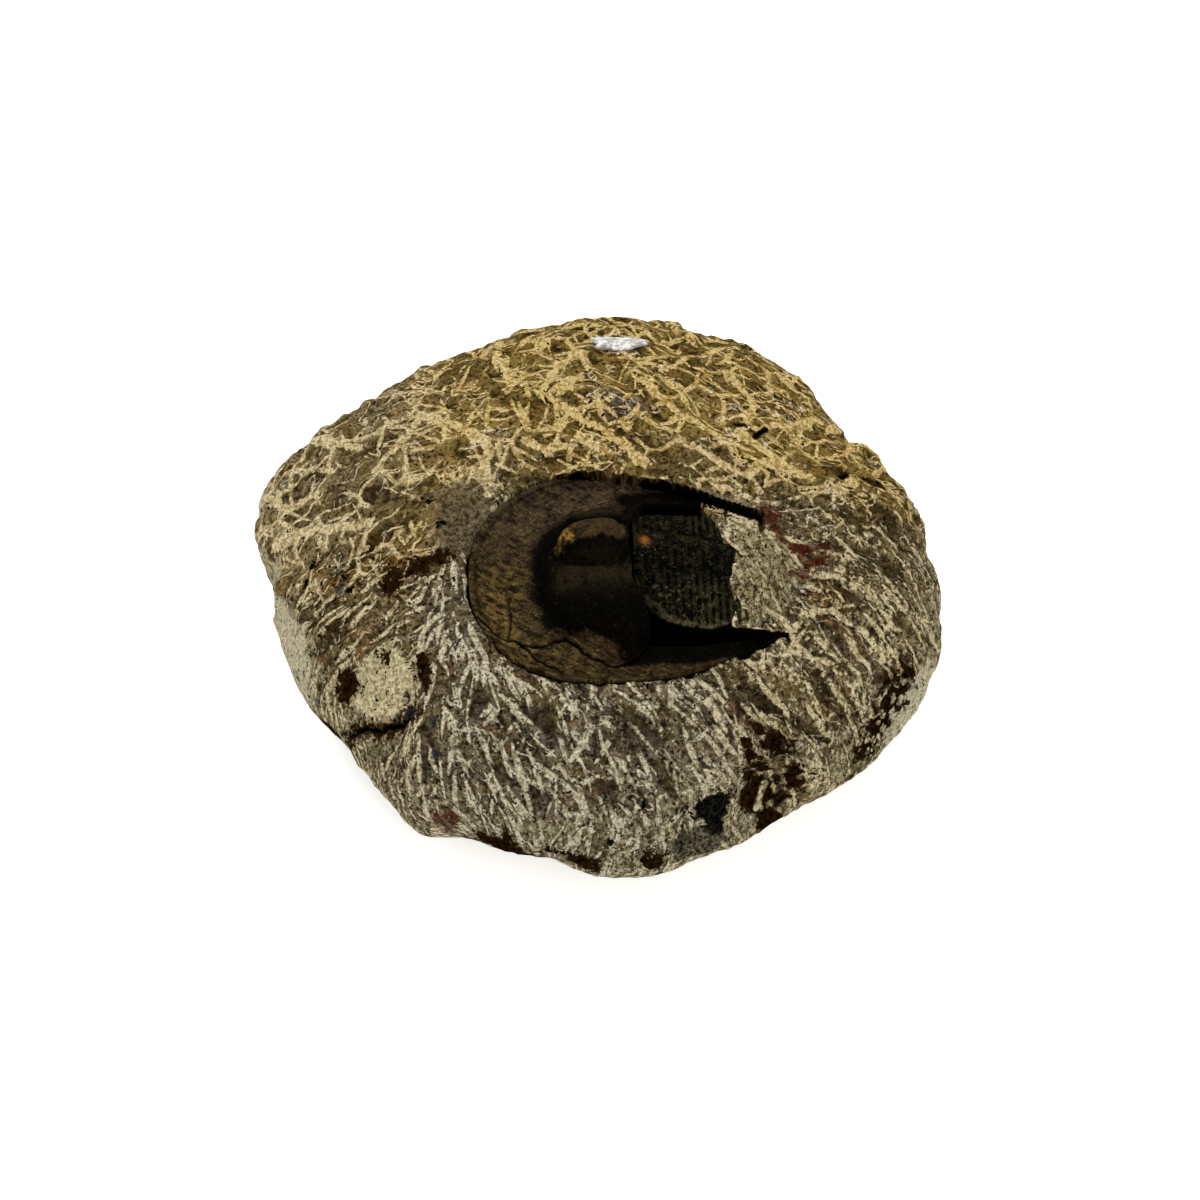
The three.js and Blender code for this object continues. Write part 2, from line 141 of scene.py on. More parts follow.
RUST_TRACKS = [  # in rows as the oil's
    (1, 1.5, (23.9, 2, 29.5), (25.4, -3, 30.5), (27.5, -5.9, 30.1), (29.6, -5.9, 29.5), (32, -4.5, 29)),
    (1, 1.3, (27.9, -11.5, 30.2), (30.2, -8.8, 29.4), (32.4, -7.8, 28.7)),
]
HAIRLINES = [  # in rows as the oil's
    (1, 0.6, (20.4, 16.6, 29.6), (21.9, 16.3, 29.5)),
    (1, 0.6, (23.3, 14.6, 29.3), (24.9, 16.5, 28.6)),
]
KNOBBED_PATCHES = [  # where clean knobs stand out of the oil
    (1, (41, -27, 17), (6, 8, 6), 14, 0.3),
    (0.8, (27.5, -34, 19.5), (3, 2.4, 3), 25, 0.6),
]
STROKE_LAYERS = [  # slant of each layer of strokes on the near half and on the far half, in degrees
    (24, 33), (52, -38), (80, 70), (108, 4), (136, -68),
]


def ease(start, end, x):
    """Smooth step: 0 at start, 1 at end, and a cubic with level ends between them."""
    t = np.clip((x - start) / (end - start), 0, 1)
    return t * t * (3 - 2 * t)


def bell(x):
    """Bell curve of height 1."""
    return np.exp(-x * x)


def noise(points, size, seed):
    """Smooth noise from -1 to 1: random values on a cubic lattice with cells of the given size, blended
    between the eight corners round each point."""
    table = np.random.default_rng(seed).uniform(-1, 1, (LATTICE,) * 3)
    cell = np.floor(points / size).astype(int)
    part = points / size - cell
    part = part * part * (3 - 2 * part)
    total = np.zeros(points.shape[:-1])
    for corner in np.ndindex(2, 2, 2):
        weight = np.where(corner, part, 1 - part).prod(axis=-1)
        total += weight * table[tuple(np.moveaxis((cell + corner) % LATTICE, -1, 0))]
    return total


def layered(points, size, octaves, seed):
    """Sum of octaves of noise, each half as large and half as high as the one before."""
    return sum(noise(points, size / 2**k, seed + k) / 2**k for k in range(octaves))


def joined(*parts):
    """Points, or other rows of numbers, from arrays of their parts."""
    return np.stack(parts, axis=-1)


def shaken(points, amount, size, octaves, *seeds):
    """Points moved by noise, along as many of the axes as there are seeds."""
    shift = [layered(points, size, octaves, seed) for seed in seeds]
    shift += [0 * shift[0]] * (3 - len(seeds))
    return points + amount * joined(*shift)


def largest(*shares):
    """The largest of several shares at each point."""
    return np.maximum.reduce(shares)


def chipped(points, size, seed):
    """Flat chips: cells round scattered points, each of them a plane with a lean of its own. Gives the
    planes' height, in cells, and how far each point lies from the border between two chips."""
    table = np.random.default_rng(seed).uniform(0, 1, (LATTICE,) * 3 + (6,))
    cell = np.floor(points / size).astype(int)
    nearest = np.full(points.shape[:-1], 9.0)
    second, height = nearest.copy(), np.zeros(nearest.shape)
    for corner in np.ndindex(3, 3, 3):
        other = cell + corner - 1
        chance = table[tuple(np.moveaxis(other % LATTICE, -1, 0))]
        away = points / size - other - chance[..., :3]
        distance = np.linalg.norm(away, axis=-1)
        closer = distance < nearest
        second = np.where(closer, nearest, np.minimum(second, distance))
        height = np.where(closer, (away * (chance[..., 3:] - 0.5)).sum(axis=-1), height)
        nearest = np.minimum(nearest, distance)
    return height, second - nearest


def closed_curve(points, steps):
    """Catmull-Rom curve through a closed list of points, with equal steps between each two of them."""
    before, after, later = (np.roll(points, shift, axis=0)[:, None] for shift in (1, -1, -2))
    at = points[:, None]
    t = (np.arange(steps) / steps)[None, :, None]
    curve = 0.5 * (2 * at + (after - before) * t + (2 * before - 5 * at + 4 * after - later) * t**2
                   + (3 * at - before - 3 * after + later) * t**3)
    return curve.reshape(-1, points.shape[1])


RIM = closed_curve(OUTLINE, 24)


def reach(x, y, angle):
    """Distance from a point in plan to the nodule's widest outline, in each direction."""
    away = RIM - (x, y)
    around = np.arctan2(away[:, 1], away[:, 0])
    return np.interp(angle, around, np.hypot(away[:, 0], away[:, 1]), period=2 * np.pi)


def to_fossil(points):
    """The fossil's own plan: u runs from head to tail, v to the animal's right."""
    dx, dy = points[..., 0] - FOSSIL["x"], points[..., 1] - FOSSIL["y"]
    cos, sin = np.cos(FOSSIL["turn"]), np.sin(FOSSIL["turn"])
    return dx * cos + dy * sin, dy * cos - dx * sin


def crown(points):
    """Height of the upper side: a superellipse from the waist up to the crown, by how far out each
    point lies between the middle and the outline, with a swelling over the buried tail."""
    x, y = points[..., 0], points[..., 1]
    out = np.hypot(x, y) / reach(0, 0, np.arctan2(y, x))
    up = (1 - np.clip(out, 0, 1) ** SHOULDER["along"]) ** (1 / SHOULDER["up"])
    u, v = to_fossil(points)
    swell = 1.4 * bell((u - 21) / 6) * bell((v + 1) / 8) * ease(13, 18, u)
    return WAIST + (NODULE_TOP - WAIST + swell) * up


def lumps(points):
    """Height of the weathered surface's broad lumps: products of sine waves of 20 to 30 mm."""
    x, y, z = np.moveaxis(points, -1, 0)
    broad = (np.sin(x / 5.1 + 1.3 * np.sin(y / 7.3))
             * np.cos(y / 4.3 + 0.9 * np.sin(x / 6.1 + z / 5)))
    small = np.sin((x + y) / 3.1 + 1.1 * np.cos(z / 4)) * np.sin((x - y) / 3.7 + 0.7)
    return (0.45 * broad + 0.35 * small) * np.clip(z / 4, 0, 1)


def oval(u, v, front, half, power):
    """1 on a superellipse with the given half sizes, and less inside it."""
    return ((np.abs(u) / front) ** power + (np.abs(v) / half) ** power) ** (1 / power)


def margin_at(u):
    """Half width of the brim's outer margin behind its widest place: a slowly closing cosine."""
    return BRIM["half"] * np.cos(BRIM["curl"] * u)


def inner_at(u):
    """Half width between the horns: the margin less the horn's width, which falls to 0 at its tip."""
    return margin_at(u) - GIRDER["horn"] * np.clip(1 - u / BRIM["back"], 0, 1) ** 0.8


def inside_brim(u, v):
    """Distance in from the brim's outer margin, in millimetres, negative outside it."""
    ahead = (1 - oval(u, v, BRIM["front"], BRIM["half"], BRIM["power"])) * 19
    behind = np.minimum(margin_at(u) - np.abs(v), BRIM["back"] - u)
    return np.where(u < 0, ahead, behind)


def overlap(u):
    """How far the stone laps over the brim on the far side, in millimetres."""
    return np.interp(u, [-15, -8, -2, 4, 9, 16, 22], [0, 0.5, 1, 1.7, 2.4, 2.9, 2.4])


def bed_share(points, grow=0):
    """Share of each point that is bed, from 0 on the stone to 1 in the hollow. The bed holds the head,
    its horns and the thorax. On the far side the stone laps over the brim. The tongue of rock that
    covers the tail stands in the bed, and covers most of the far horn too. The edge wavers, most of
    all beside the near horn. grow is how far the tongue is cut back, in millimetres."""
    u, v = to_fossil(points)
    waver = 0.22 * noise(points, 1.6, 41) + 0.12 * noise(points, 0.7, 42)
    waver *= 1 + 1.6 * ease(6, 10, u) * ease(-9, -12, v)
    lap = overlap(u) * ease(-2, 8, v)
    covered = np.interp(v, [-9.6, -6, -3.5, -1, 1.5, 5, 8.5, 11.5, 13],
                        [16, 16, 16.4, 17, 16.4, 16, 14.6, 13.4, 14.4])
    near_side = np.interp(u, [17, 20.5, 22.5], [10.4, 10.4, 10.6])
    far_side = margin_at(u) - overlap(u) - 1.2
    tongue = np.minimum(u - covered, np.where(v < 0, near_side + v, far_side - v))
    inside = np.minimum(inside_brim(u, v) + 0.25 - lap, grow - tongue) + waver
    return ease(-0.2, 0.35, inside)


def nodule_loops():
    """Loops of points from the middle of the fossil's bed, over the crown, the shoulder and the sides,
    to the middle of the base. The first loops are circles round the fossil, which turn into the
    nodule's outline on the way out, at equal steps of the way over the crown. Below the waist they
    shrink towards the base, where a rounded edge meets the flat underside."""
    angle = np.arange(COLUMNS) * 2 * np.pi / COLUMNS
    way = joined(np.cos(angle), np.sin(angle))
    centre = np.array([FOSSIL["x"], FOSSIL["y"]])
    far = reach(*centre, angle)
    sweep = np.sin(np.linspace(0, np.pi / 2, 400)) ** (2 / SHOULDER["along"])
    drop = (NODULE_TOP - WAIST) * (1 - sweep ** SHOULDER["along"]) ** (1 / SHOULDER["up"])
    arc = np.concatenate([[0], np.cumsum(np.hypot(np.diff((46 - BED_RADIUS) * sweep), np.diff(drop)))])
    share = np.interp(np.linspace(0, arc[-1], OUTER_RINGS + 1)[1:], arc, sweep)
    radii = np.vstack([
        np.linspace(0.03, 1, INNER_RINGS)[:, None] * BED_RADIUS * np.ones(COLUMNS),
        BED_RADIUS + (far - BED_RADIUS) * share[:, None],
    ])
    upper = centre + way * radii[..., None]
    rim = upper[-1]
    below = 1 - np.linspace(0, 1, LOWER_RINGS + 1)[1:] ** 2 * UNDERSIDE["shrink"]
    base = np.linspace(1 - UNDERSIDE["shrink"] - 0.0005, 0.02, BASE_RINGS + 1)
    plan = np.concatenate([upper, rim * below[:, None, None], rim * base[:, None, None]])
    cut = WAIST - (WAIST + UNDERSIDE["cut"]) * np.sqrt(1 - below ** UNDERSIDE["along"])
    height = np.concatenate([np.zeros(len(upper)), np.maximum(0, cut), np.zeros(len(base))])
    loops = np.concatenate([plan, np.broadcast_to(height[:, None, None], plan.shape[:2] + (1,))], axis=-1)
    loops[:len(upper), :, 2] = crown(upper)
    return loops


def outward(loops):
    """Unit normals of a surface of closed loops, from the differences between neighbouring points."""
    around = np.roll(loops, -1, axis=1) - np.roll(loops, 1, axis=1)
    along = np.gradient(loops, axis=0)
    normal = np.cross(along, around)
    return normal / np.maximum(np.linalg.norm(normal, axis=-1, keepdims=True), 1e-9)


def skin_map(loops):
    """Plan coordinates in millimetres that follow the surface: the direction from the fossil, times the
    length of the way over the surface, so that a pattern isn't stretched down the sides. The base has
    its own plain plan, set apart from the rest."""
    aside = loops[..., :2] - (FOSSIL["x"], FOSSIL["y"])
    first = np.hypot(aside[0, :, 0], aside[0, :, 1])
    way = np.concatenate([first[None], np.linalg.norm(np.diff(loops, axis=0), axis=-1)]).cumsum(axis=0)
    angle = np.arctan2(aside[INNER_RINGS, :, 1], aside[INNER_RINGS, :, 0])
    skin = joined(np.cos(angle) * way, np.sin(angle) * way, 0 * way)
    skin[-BASE_RINGS - 1:] = loops[-BASE_RINGS - 1:] + (300, 0, 0)
    return skin


def stroke_angle(points, warm):
    """Common direction of the tool strokes, in radians from +X, as the cosine and sine of its double. On
    the near half they turn from one slant to the other across the nodule, because the hand that held
    the pen swung about its wrist. On the far half the slant changes the other way."""
    x, y, z = np.moveaxis(points, -1, 0)
    by_the_head = ease(-19, -27, x) * ease(-25, -18, y)
    by_the_tail = ease(-20, -9, y) * ease(18, 25, x) * ease(44, 34, x)
    on_the_side = ease(24, 17, z) * ease(-16, 0, x) * ease(20, 8, x)
    near = np.radians(90 + 42 * np.tanh((x + 20) / 12) + 14 * ease(12, 30, x)
                      - 44 * by_the_head + 20 * by_the_tail - 70 * on_the_side)
    far = np.radians(35 - 72 * ease(-14, 2, x) + 28 * ease(20, 36, x))
    return joined(np.cos(2 * near) * (1 - warm) + np.cos(2 * far) * warm,
                  np.sin(2 * near) * (1 - warm) + np.sin(2 * far) * warm, 0 * x)


def streaks(points, comb, size, length, seed):
    """Noise drawn out into streaks: the sum of noise at nine places along a short line in the strokes'
    direction, divided by its standard deviation."""
    half = 0.5 * np.arctan2(comb[..., 1], comb[..., 0])
    way = joined(np.cos(half), np.sin(half), 0 * half)
    steps = np.linspace(-0.5, 0.5, 9) * length
    total = sum(noise(points + way * step, size, seed) for step in steps)
    return total / total.std()


def turned(comb, degrees):
    """The same directions, turned by an angle: their doubles turn twice as far."""
    cos, sin = np.cos(np.radians(2 * degrees)), np.sin(np.radians(2 * degrees))
    x, y, z = np.moveaxis(comb, -1, 0)
    return joined(x * cos - y * sin, x * sin + y * cos, z)


def patch(points, centre, half, seed=0, ragged=0.35):
    """Share of a patch: 1 in the middle of an ellipsoid with the given half sizes, falling to 0 at its
    edge, which noise makes uneven."""
    away = np.linalg.norm((points - centre) / half, axis=-1)
    return np.clip(1 - away + ragged * layered(points, 4, 3, 60 + seed), 0, 1)


def along_path(points, path, wide):
    """Share of a streak: 1 on a line through the given places, falling to 0 at its half width."""
    nearest = np.full(points.shape[:-1], np.inf)
    path = np.array(path, float)
    for start, end in zip(path[:-1], path[1:]):
        run = end - start
        share = np.clip(((points - start) @ run) / max(run @ run, 1e-9), 0, 1)
        nearest = np.minimum(nearest, np.linalg.norm(points - start - share[..., None] * run, axis=-1))
    return np.clip(1 - nearest / wide, 0, 1)


def patches(points, rows):
    """The largest share of several patches, of which each row gives the strength and the place."""
    return largest(*(strength * patch(points, *place) for strength, *place in rows))


def tracks(points, rows):
    """The largest share of several streaks, of which each row gives the strength, the half width and
    the places."""
    return largest(*(strength * along_path(points, places, wide) for strength, wide, *places in rows))


def spots(points, rows, wide):
    """The largest share of several round spots. wide is their half width for each millimetre of radius."""
    return largest(*(along_path(points, [place, place], wide * radius) for radius, place in rows))


def closed_skin(name, loops):
    """Mesh from closed loops of points in millimetres: quads join each loop to the next, and a fan of
    triangles closes the first and the last. Faces are turned to point outwards."""
    count, around = loops.shape[:2]
    ends = loops[[0, -1]].mean(axis=1)
    points = np.vstack([loops.reshape(-1, 3), ends])
    k = np.arange(around)
    after = np.roll(k, -1)
    row = np.arange(count - 1)[:, None] * around
    quads = joined(row + k, row + around + k, row + around + after, row + after).reshape(-1, 4)
    last = (count - 1) * around
    fans = np.vstack([
        joined(np.full(around, count * around), k, after),
        joined(last + after, last + k, np.full(around, count * around + 1)),
    ])
    a, b, c = points[quads[:, 0]], points[quads[:, 1]], points[quads[:, 2]]
    if np.einsum("ij,ij->i", a, np.cross(b, c)).sum() < 0:
        quads, fans = quads[:, ::-1], fans[:, ::-1]
    corners = np.concatenate([quads.ravel(), fans.ravel()])
    sizes = np.concatenate([np.full(len(quads), 4), np.full(len(fans), 3)])
    mesh = bpy.data.meshes.new(name)
    mesh.vertices.add(len(points))
    mesh.vertices.foreach_set("co", (points * MM).astype(np.float32).ravel())
    mesh.loops.add(len(corners))
    mesh.loops.foreach_set("vertex_index", corners.astype(np.int32))
    mesh.polygons.add(len(sizes))
    mesh.polygons.foreach_set("loop_start", np.concatenate([[0], np.cumsum(sizes)[:-1]]).astype(np.int32))
    mesh.update(calc_edges=True)
    mesh.polygons.foreach_set("use_smooth", np.ones(len(sizes), bool))
    piece = bpy.data.objects.new(name, mesh)
    bpy.context.scene.collection.objects.link(piece)
    return piece


def mark(piece, name, *values):
    """Stores a vector, or up to four shares as a colour, for each point of a closed skin. The two end
    points take the mean of their loops."""
    if len(values) > 1:
        values = joined(*values, *[0 * values[0]] * (4 - len(values)))
        kind, field = "FLOAT_COLOR", "color"
    else:
        values, kind, field = values[0], "FLOAT_VECTOR", "vector"
    ends = values[[0, -1]].mean(axis=1)
    flat = np.vstack([values.reshape(-1, values.shape[-1]), ends]).astype(np.float32)
    layer = piece.data.attributes.new(name, kind, "POINT")
    layer.data.foreach_set(field, flat.ravel())


def on_top(points):
    """1 on the loops of the upper side and 0 below the waist."""
    return (np.arange(len(points)) < INNER_RINGS + OUTER_RINGS)[:, None] * np.ones(points.shape[1])


rock = nodule_loops()
skin = skin_map(rock)
u, v = to_fossil(rock)
within = inside_brim(u, v)
outside = np.maximum(0, -within)
bed = bed_share(rock) * on_top(rock)

# Broad lumps lift the top and push the sides outwards, and some places have chipped off.
lift = lumps(rock) * (1 - bed)
aside = np.clip((NODULE_TOP - rock[..., 2]) / (NODULE_TOP - WAIST), 0, 1)
out = rock[..., :2] / np.maximum(np.linalg.norm(rock[..., :2], axis=-1, keepdims=True), 1e-6)
rock[..., :2] += out * (lift * aside)[..., None]
rock[..., 2] += lift * (1 - aside)
for at, size, push in CHIPS:
    away = np.linalg.norm(rock - at, axis=-1) / size
    rock += np.array(push) * (np.clip(1 - away**2, 0, 1) ** 2)[..., None]

# The front is worked down to the brim in a smooth slope, and the near side is level with it.
slope = ease(2, -12, u) * ease(-14, 4, v) * bell(outside / 4.2)
flush = ease(-4, -12, v) * bell(outside / 3)
rock[..., 2] -= np.maximum(slope, flush) * np.maximum(0, rock[..., 2] - FOSSIL["level"] - 0.6) * 0.85
beside = ease(3, 9, v) * bell(np.maximum(0, overlap(u) - within) / 5)
rock[..., 2] -= beside * np.maximum(0, rock[..., 2] - FOSSIL["level"] - 1.6) * 0.9

# The far half is warmer in colour, and its strokes cross. A drifting border parts it from the near one.
x, y, z = np.moveaxis(rock, -1, 0)
drift = 7 * layered(rock, 14, 3, 21)
warm = ease(-9, 9, y - 3 - 0.1 * x + 13 * ease(-17, -27, x) + drift)
comb = stroke_angle(rock, warm)
calm = bell(outside / 2.5)  # the stone is smoother close to the brim
torn = shaken(rock, 0.9, 2.5, 2, 61, 62, 63)
cracks = np.maximum(along_path(torn, LEDGE_CRACK, 0.75), 0.8 * along_path(torn, NOTCH_CRACK, 0.8))
wobbled = shaken(skin, 0.9, 4, 3, 91, 94)
ridge = streaks(wobbled, comb, 1.2, 5, 33)
thread = streaks(wobbled, turned(comb, 16), 1.2, 7, 35)
cross = streaks(wobbled, turned(comb, 68), 1.3, 6, 37)
lean, border = chipped(shaken(rock, 0.8, 3, 2, 51, 53, 55), CHIP_SIZE, 57)
slab = patch(rock, (-29.5, -24.2, 23), (6.6, 6, 7), 7, 0.25)

# The relief in millimetres, with the weight of each part before it.
relief = (
    0.25 * layered(rock, 5.5, 2, 11)  # swellings
    + 0.7 * ease(0.12, 0.24, slab)  # the pale slab
    + 0.16 * np.abs(noise(rock, 2.6, 13))  # knobs
    + (0.8 + 1.8 * warm) * lean * ease(0, 0.3, border)  # the chips' planes, steeper on the far half
    + 0.3 * ease(0, 0.4, border) * warm  # their borders lie lower
    + (0.15 - 0.04 * warm) * ridge  # rows of strokes
    + 0.06 * thread
    + (0.05 + 0.04 * warm) * cross
    + 0.2 * noise(rock, 0.95, 14)  # grain
    - 1.1 * cracks
)
# There is less relief close to the brim and low on the sides, and none in the bed or at the foot.
relief *= (1 - 0.7 * calm) * (1 - bed) * np.clip(z / 2, 0, 1) * (0.4 + 0.6 * ease(8, 19, z))
rock = rock + outward(rock) * relief[..., None]

# The bed's floor takes the stone's place where the bed is, and the underside is flat.
floor_of_bed = FOSSIL["level"] + BED_FLOOR + 0.1 * layered(rock, 1.5, 2, 17)
rock[..., 2] = rock[..., 2] * (1 - bed) + floor_of_bed * bed
rock[..., 2] = np.maximum(rock[..., 2], 0)
rock[-BASE_RINGS - 1:, :, 2] = 0

nodule = closed_skin("nodule", rock)
mark(nodule, "skin", skin)
mark(nodule, "comb", comb)
crumbly = ease(-2, 12, x) * (1 - warm)
mark(nodule, "ridges", ridge, thread, cross, crumbly)

powder = ease(25.5, 17, z + 0.35 * drift + 4 * warm)
stain = largest(patches(torn, OIL_DROPS), patches(rock, OIL_PATCHES), tracks(torn, OIL_TRACKS))
slate = patch(torn, (17.4, -41.9, 19), (4.2, 3.2, 4), 8, 0.6) * 1.4
ochre = patches(rock, OCHRE_PATCHES)
rust = largest(tracks(torn, RUST_TRACKS), patch(rock, (-20.5, -41, 15), (2.6, 2.6, 3.4), 10, 0.4))
scraped = np.clip(2 * patch(rock, (-19.5, -1.5, 30.5), (5.5, 8, 4), 12, 0.2), 0, 1)
tongue = patch(rock, (24, -11.5, 31), (6.5, 9.5, 4), 13, 0.25)
chipped_edge = bell(border / 0.14) * warm
knobbed = patches(rock, KNOBBED_PATCHES)

# Painted shade: the bed's walls, the gap under the stone that laps over the brim, and the cracks are
# painted dark as the shade in them, and the hairlines are drawn dark with them. The wall behind the
# shield, where light falls on it, is painted less dark.
lapped = within + 0.25 - overlap(u)
lit_far_wall = ease(3, 6, v) * ease(7, 4, u) * (1 - bell((u + 4) / 1.7))
far_gap_shadow = ease(0.7, 0.25, np.abs(lapped - 0.1)) * ease(4, 8, v) * ease(-12, -7, u) * ease(23, 21, u)
wall_shade = np.maximum(bed, far_gap_shadow) * (1 - 0.66 * lit_far_wall)
tongue_wall_shade = bed_share(rock, 0.4) * ease(14.6, 15.6, u) * ease(-2, -6, v)
shade_and_hairlines = largest(wall_shade, cracks, tracks(rock, HAIRLINES), tongue_wall_shade)
rim = ease(0.9, 0.3, np.abs(lapped + 0.7)) * ease(4, 8, v) * ease(10, 14, u) * ease(22, 20, u)

# Veins are drawn in plan, and one streak of the same kind runs down through the oily stain.
veined = shaken(rock, 0.5, 2, 1, 64, 65) * (1, 1, 0)
veins = largest(*(along_path(veined, [(*place, 0) for place in places], wide)
                  for wide, *places in VEINS),
                along_path(rock, [(23.5, -36.8, 16), (22.6, -38.8, 13)], 1))
holes = np.maximum(spots(torn, PITS, 1.15), along_path(torn, FURROW, 0.55))
bluish = spots(rock, BLUE_SPOTS, 1.5)

# A smooth crust is left on both ends of the near side, and all round close to the base.
left_end = ease(-37, -43, x) * ease(-31, -23, y + drift) * ease(17, 5, y + 1.5 * drift)
right_end = ease(37, 44, x) * ease(-11, -20, y + 0.5 * drift)
smooth = ease(21.5, 17, z + 0.5 * drift) * np.maximum(left_end, right_end)
smooth = np.maximum(smooth, 0.75 * ease(11, 5, z + 0.25 * drift))
yellow = (warm * (1 - 0.5 * ease(-16, -34, x))
          + (1 - warm) * (0.4 * ease(10, 26, x) + 0.4 * ease(-18, -30, x)))
purple = patch(rock, (3.6, 18.6, 31), (6, 4.5, 4), 19, 0.5)
greenish = 2 * patch(rock, (14.4, -44.8, 15), (5.4, 4, 4.6), 15, 0.4)
mark(nodule, "tone", warm, powder, stain, slab)
mark(nodule, "spots", slate, ochre, rust, tongue)
mark(nodule, "worked", shade_and_hairlines, scraped, chipped_edge, knobbed)
mark(nodule, "hue", yellow, holes, bluish, purple)
mark(nodule, "lines", veins, smooth, rim, greenish)


def paint(code):
    """Linear colour from a hexadecimal sRGB code."""
    srgb = np.array([int(code[i:i + 2], 16) for i in (1, 3, 5)]) / 255
    linear = np.where(srgb <= 0.04045, srgb / 12.92, ((srgb + 0.055) / 1.055) ** 2.4)
    return (*linear.tolist(), 1.0)


class Wires:
    """Adds nodes to one node tree. Each input is given as a socket to join, as a value to set, or as a
    colour's hexadecimal code. Each method gives the new node's output."""

    def __init__(self, tree):
        self.tree = tree

    def add(self, kind, values=(), **settings):
        node = self.tree.nodes.new(kind)
        for name, setting in settings.items():
            setattr(node, name, setting)
        for key, value in dict(values).items():
            self.give(node, key, value)
        return node

    def give(self, node, key, value):
        if isinstance(value, bpy.types.NodeSocket):
            self.tree.links.new(value, node.inputs[key])
        else:
            node.inputs[key].default_value = paint(value) if isinstance(value, str) else value

    def math(self, operation, *values, clamp=False):
        return self.add("ShaderNodeMath", enumerate(values), operation=operation, use_clamp=clamp).outputs[0]

    def times(self, total, *values):
        """The product of two or more values."""
        for value in values:
            total = self.math("MULTIPLY", total, value)
        return total

    def scaled(self, value, factor, added):
        """A value times a factor, with another value added."""
        return self.math("MULTIPLY_ADD", value, factor, added)

    def less(self, share):
        """What a share leaves of 1."""
        return self.math("SUBTRACT", 1.0, share)

    def most(self, total, *values):
        """The largest of several values."""
        for value in values:
            total = self.math("MAXIMUM", total, value)
        return total

    def vector(self, operation, *values):
        node = self.add("ShaderNodeVectorMath", enumerate(values), operation=operation)
        return node.outputs["Value" if operation == "LENGTH" else "Vector"]

    def point(self, x=0.0, y=0.0, z=0.0):
        return self.add("ShaderNodeCombineXYZ", enumerate((x, y, z))).outputs[0]

    def parts(self, vector):
        return self.add("ShaderNodeSeparateXYZ", {0: vector}).outputs

    def fade(self, value, start, end):
        """0 where value is at start, 1 where it is at end, and smooth between them."""
        node = self.add("ShaderNodeMapRange", {0: value, 1: start, 2: end}, interpolation_type="SMOOTHSTEP")
        return node.outputs[0]

    def uneven(self, share, ripple, amount, start, end):
        """A share whose edge is made uneven: faded after the ripple round 0.5 is added to it."""
        moved = self.scaled(self.math("SUBTRACT", ripple, 0.5), amount, share)
        return self.fade(moved, start, end)

    def noise(self, place, scale, detail=2.0, rough=0.5, output=0, dimensions="2D"):
        node = self.add("ShaderNodeTexNoise", {"Vector": place, "Scale": scale, "Detail": detail,
                                               "Roughness": rough}, noise_dimensions=dimensions)
        return node.outputs[output]

    def cells(self, place, scale, feature="F1"):
        return self.add("ShaderNodeTexVoronoi", {"Vector": place, "Scale": scale}, voronoi_dimensions="2D",
                        feature=feature).outputs

    def mix(self, share, first, second, blend="MIX"):
        node = self.add("ShaderNodeMix", {0: share, 6: first, 7: second}, data_type="RGBA", blend_type=blend)
        return node.outputs[2]

    def tones(self, value, start, end, first, second):
        """The first colour where value is at start, the second where it is at end."""
        return self.mix(self.fade(value, start, end), first, second)

    def cover(self, colour, mask, share, other):
        """A colour that another covers, to the given share, where the mask is."""
        return self.mix(self.times(mask, share), colour, other)

    def scatter(self, colour, amount):
        """A sideways shift from the colours of noise."""
        middle = self.vector("SUBTRACT", colour, (0.5, 0.5, 0.5))
        return self.vector("MULTIPLY", middle, (amount, amount, 0.0))

    def spin(self, place, angle):
        """A place turned about the upright axis."""
        return self.add("ShaderNodeVectorRotate", {"Vector": place, "Angle": angle},
                        rotation_type="Z_AXIS").outputs[0]

    def attribute(self, name):
        return self.add("ShaderNodeAttribute", attribute_name=name).outputs

    def channels(self, name):
        """The four shares that are stored as a colour on the mesh."""
        stored = self.attribute(name)
        return [*self.parts(stored["Color"]), stored["Alpha"]]

    def group(self, tree, *values):
        node = self.add("ShaderNodeGroup", node_tree=tree)
        for key, value in enumerate(values):
            self.give(node, key, value)
        return node.outputs


def new_group(name, inputs, outputs):
    """Empty shader node group with named sockets, with its wires, its inputs and its last node."""
    group = bpy.data.node_groups.new(name, "ShaderNodeTree")
    for label, kind in inputs.items():
        group.interface.new_socket(label, in_out="INPUT", socket_type=f"NodeSocket{kind}")
    for label, kind in outputs.items():
        group.interface.new_socket(label, in_out="OUTPUT", socket_type=f"NodeSocket{kind}")
    given = group.nodes.new("NodeGroupInput").outputs
    return group, Wires(group), given, group.nodes.new("NodeGroupOutput")


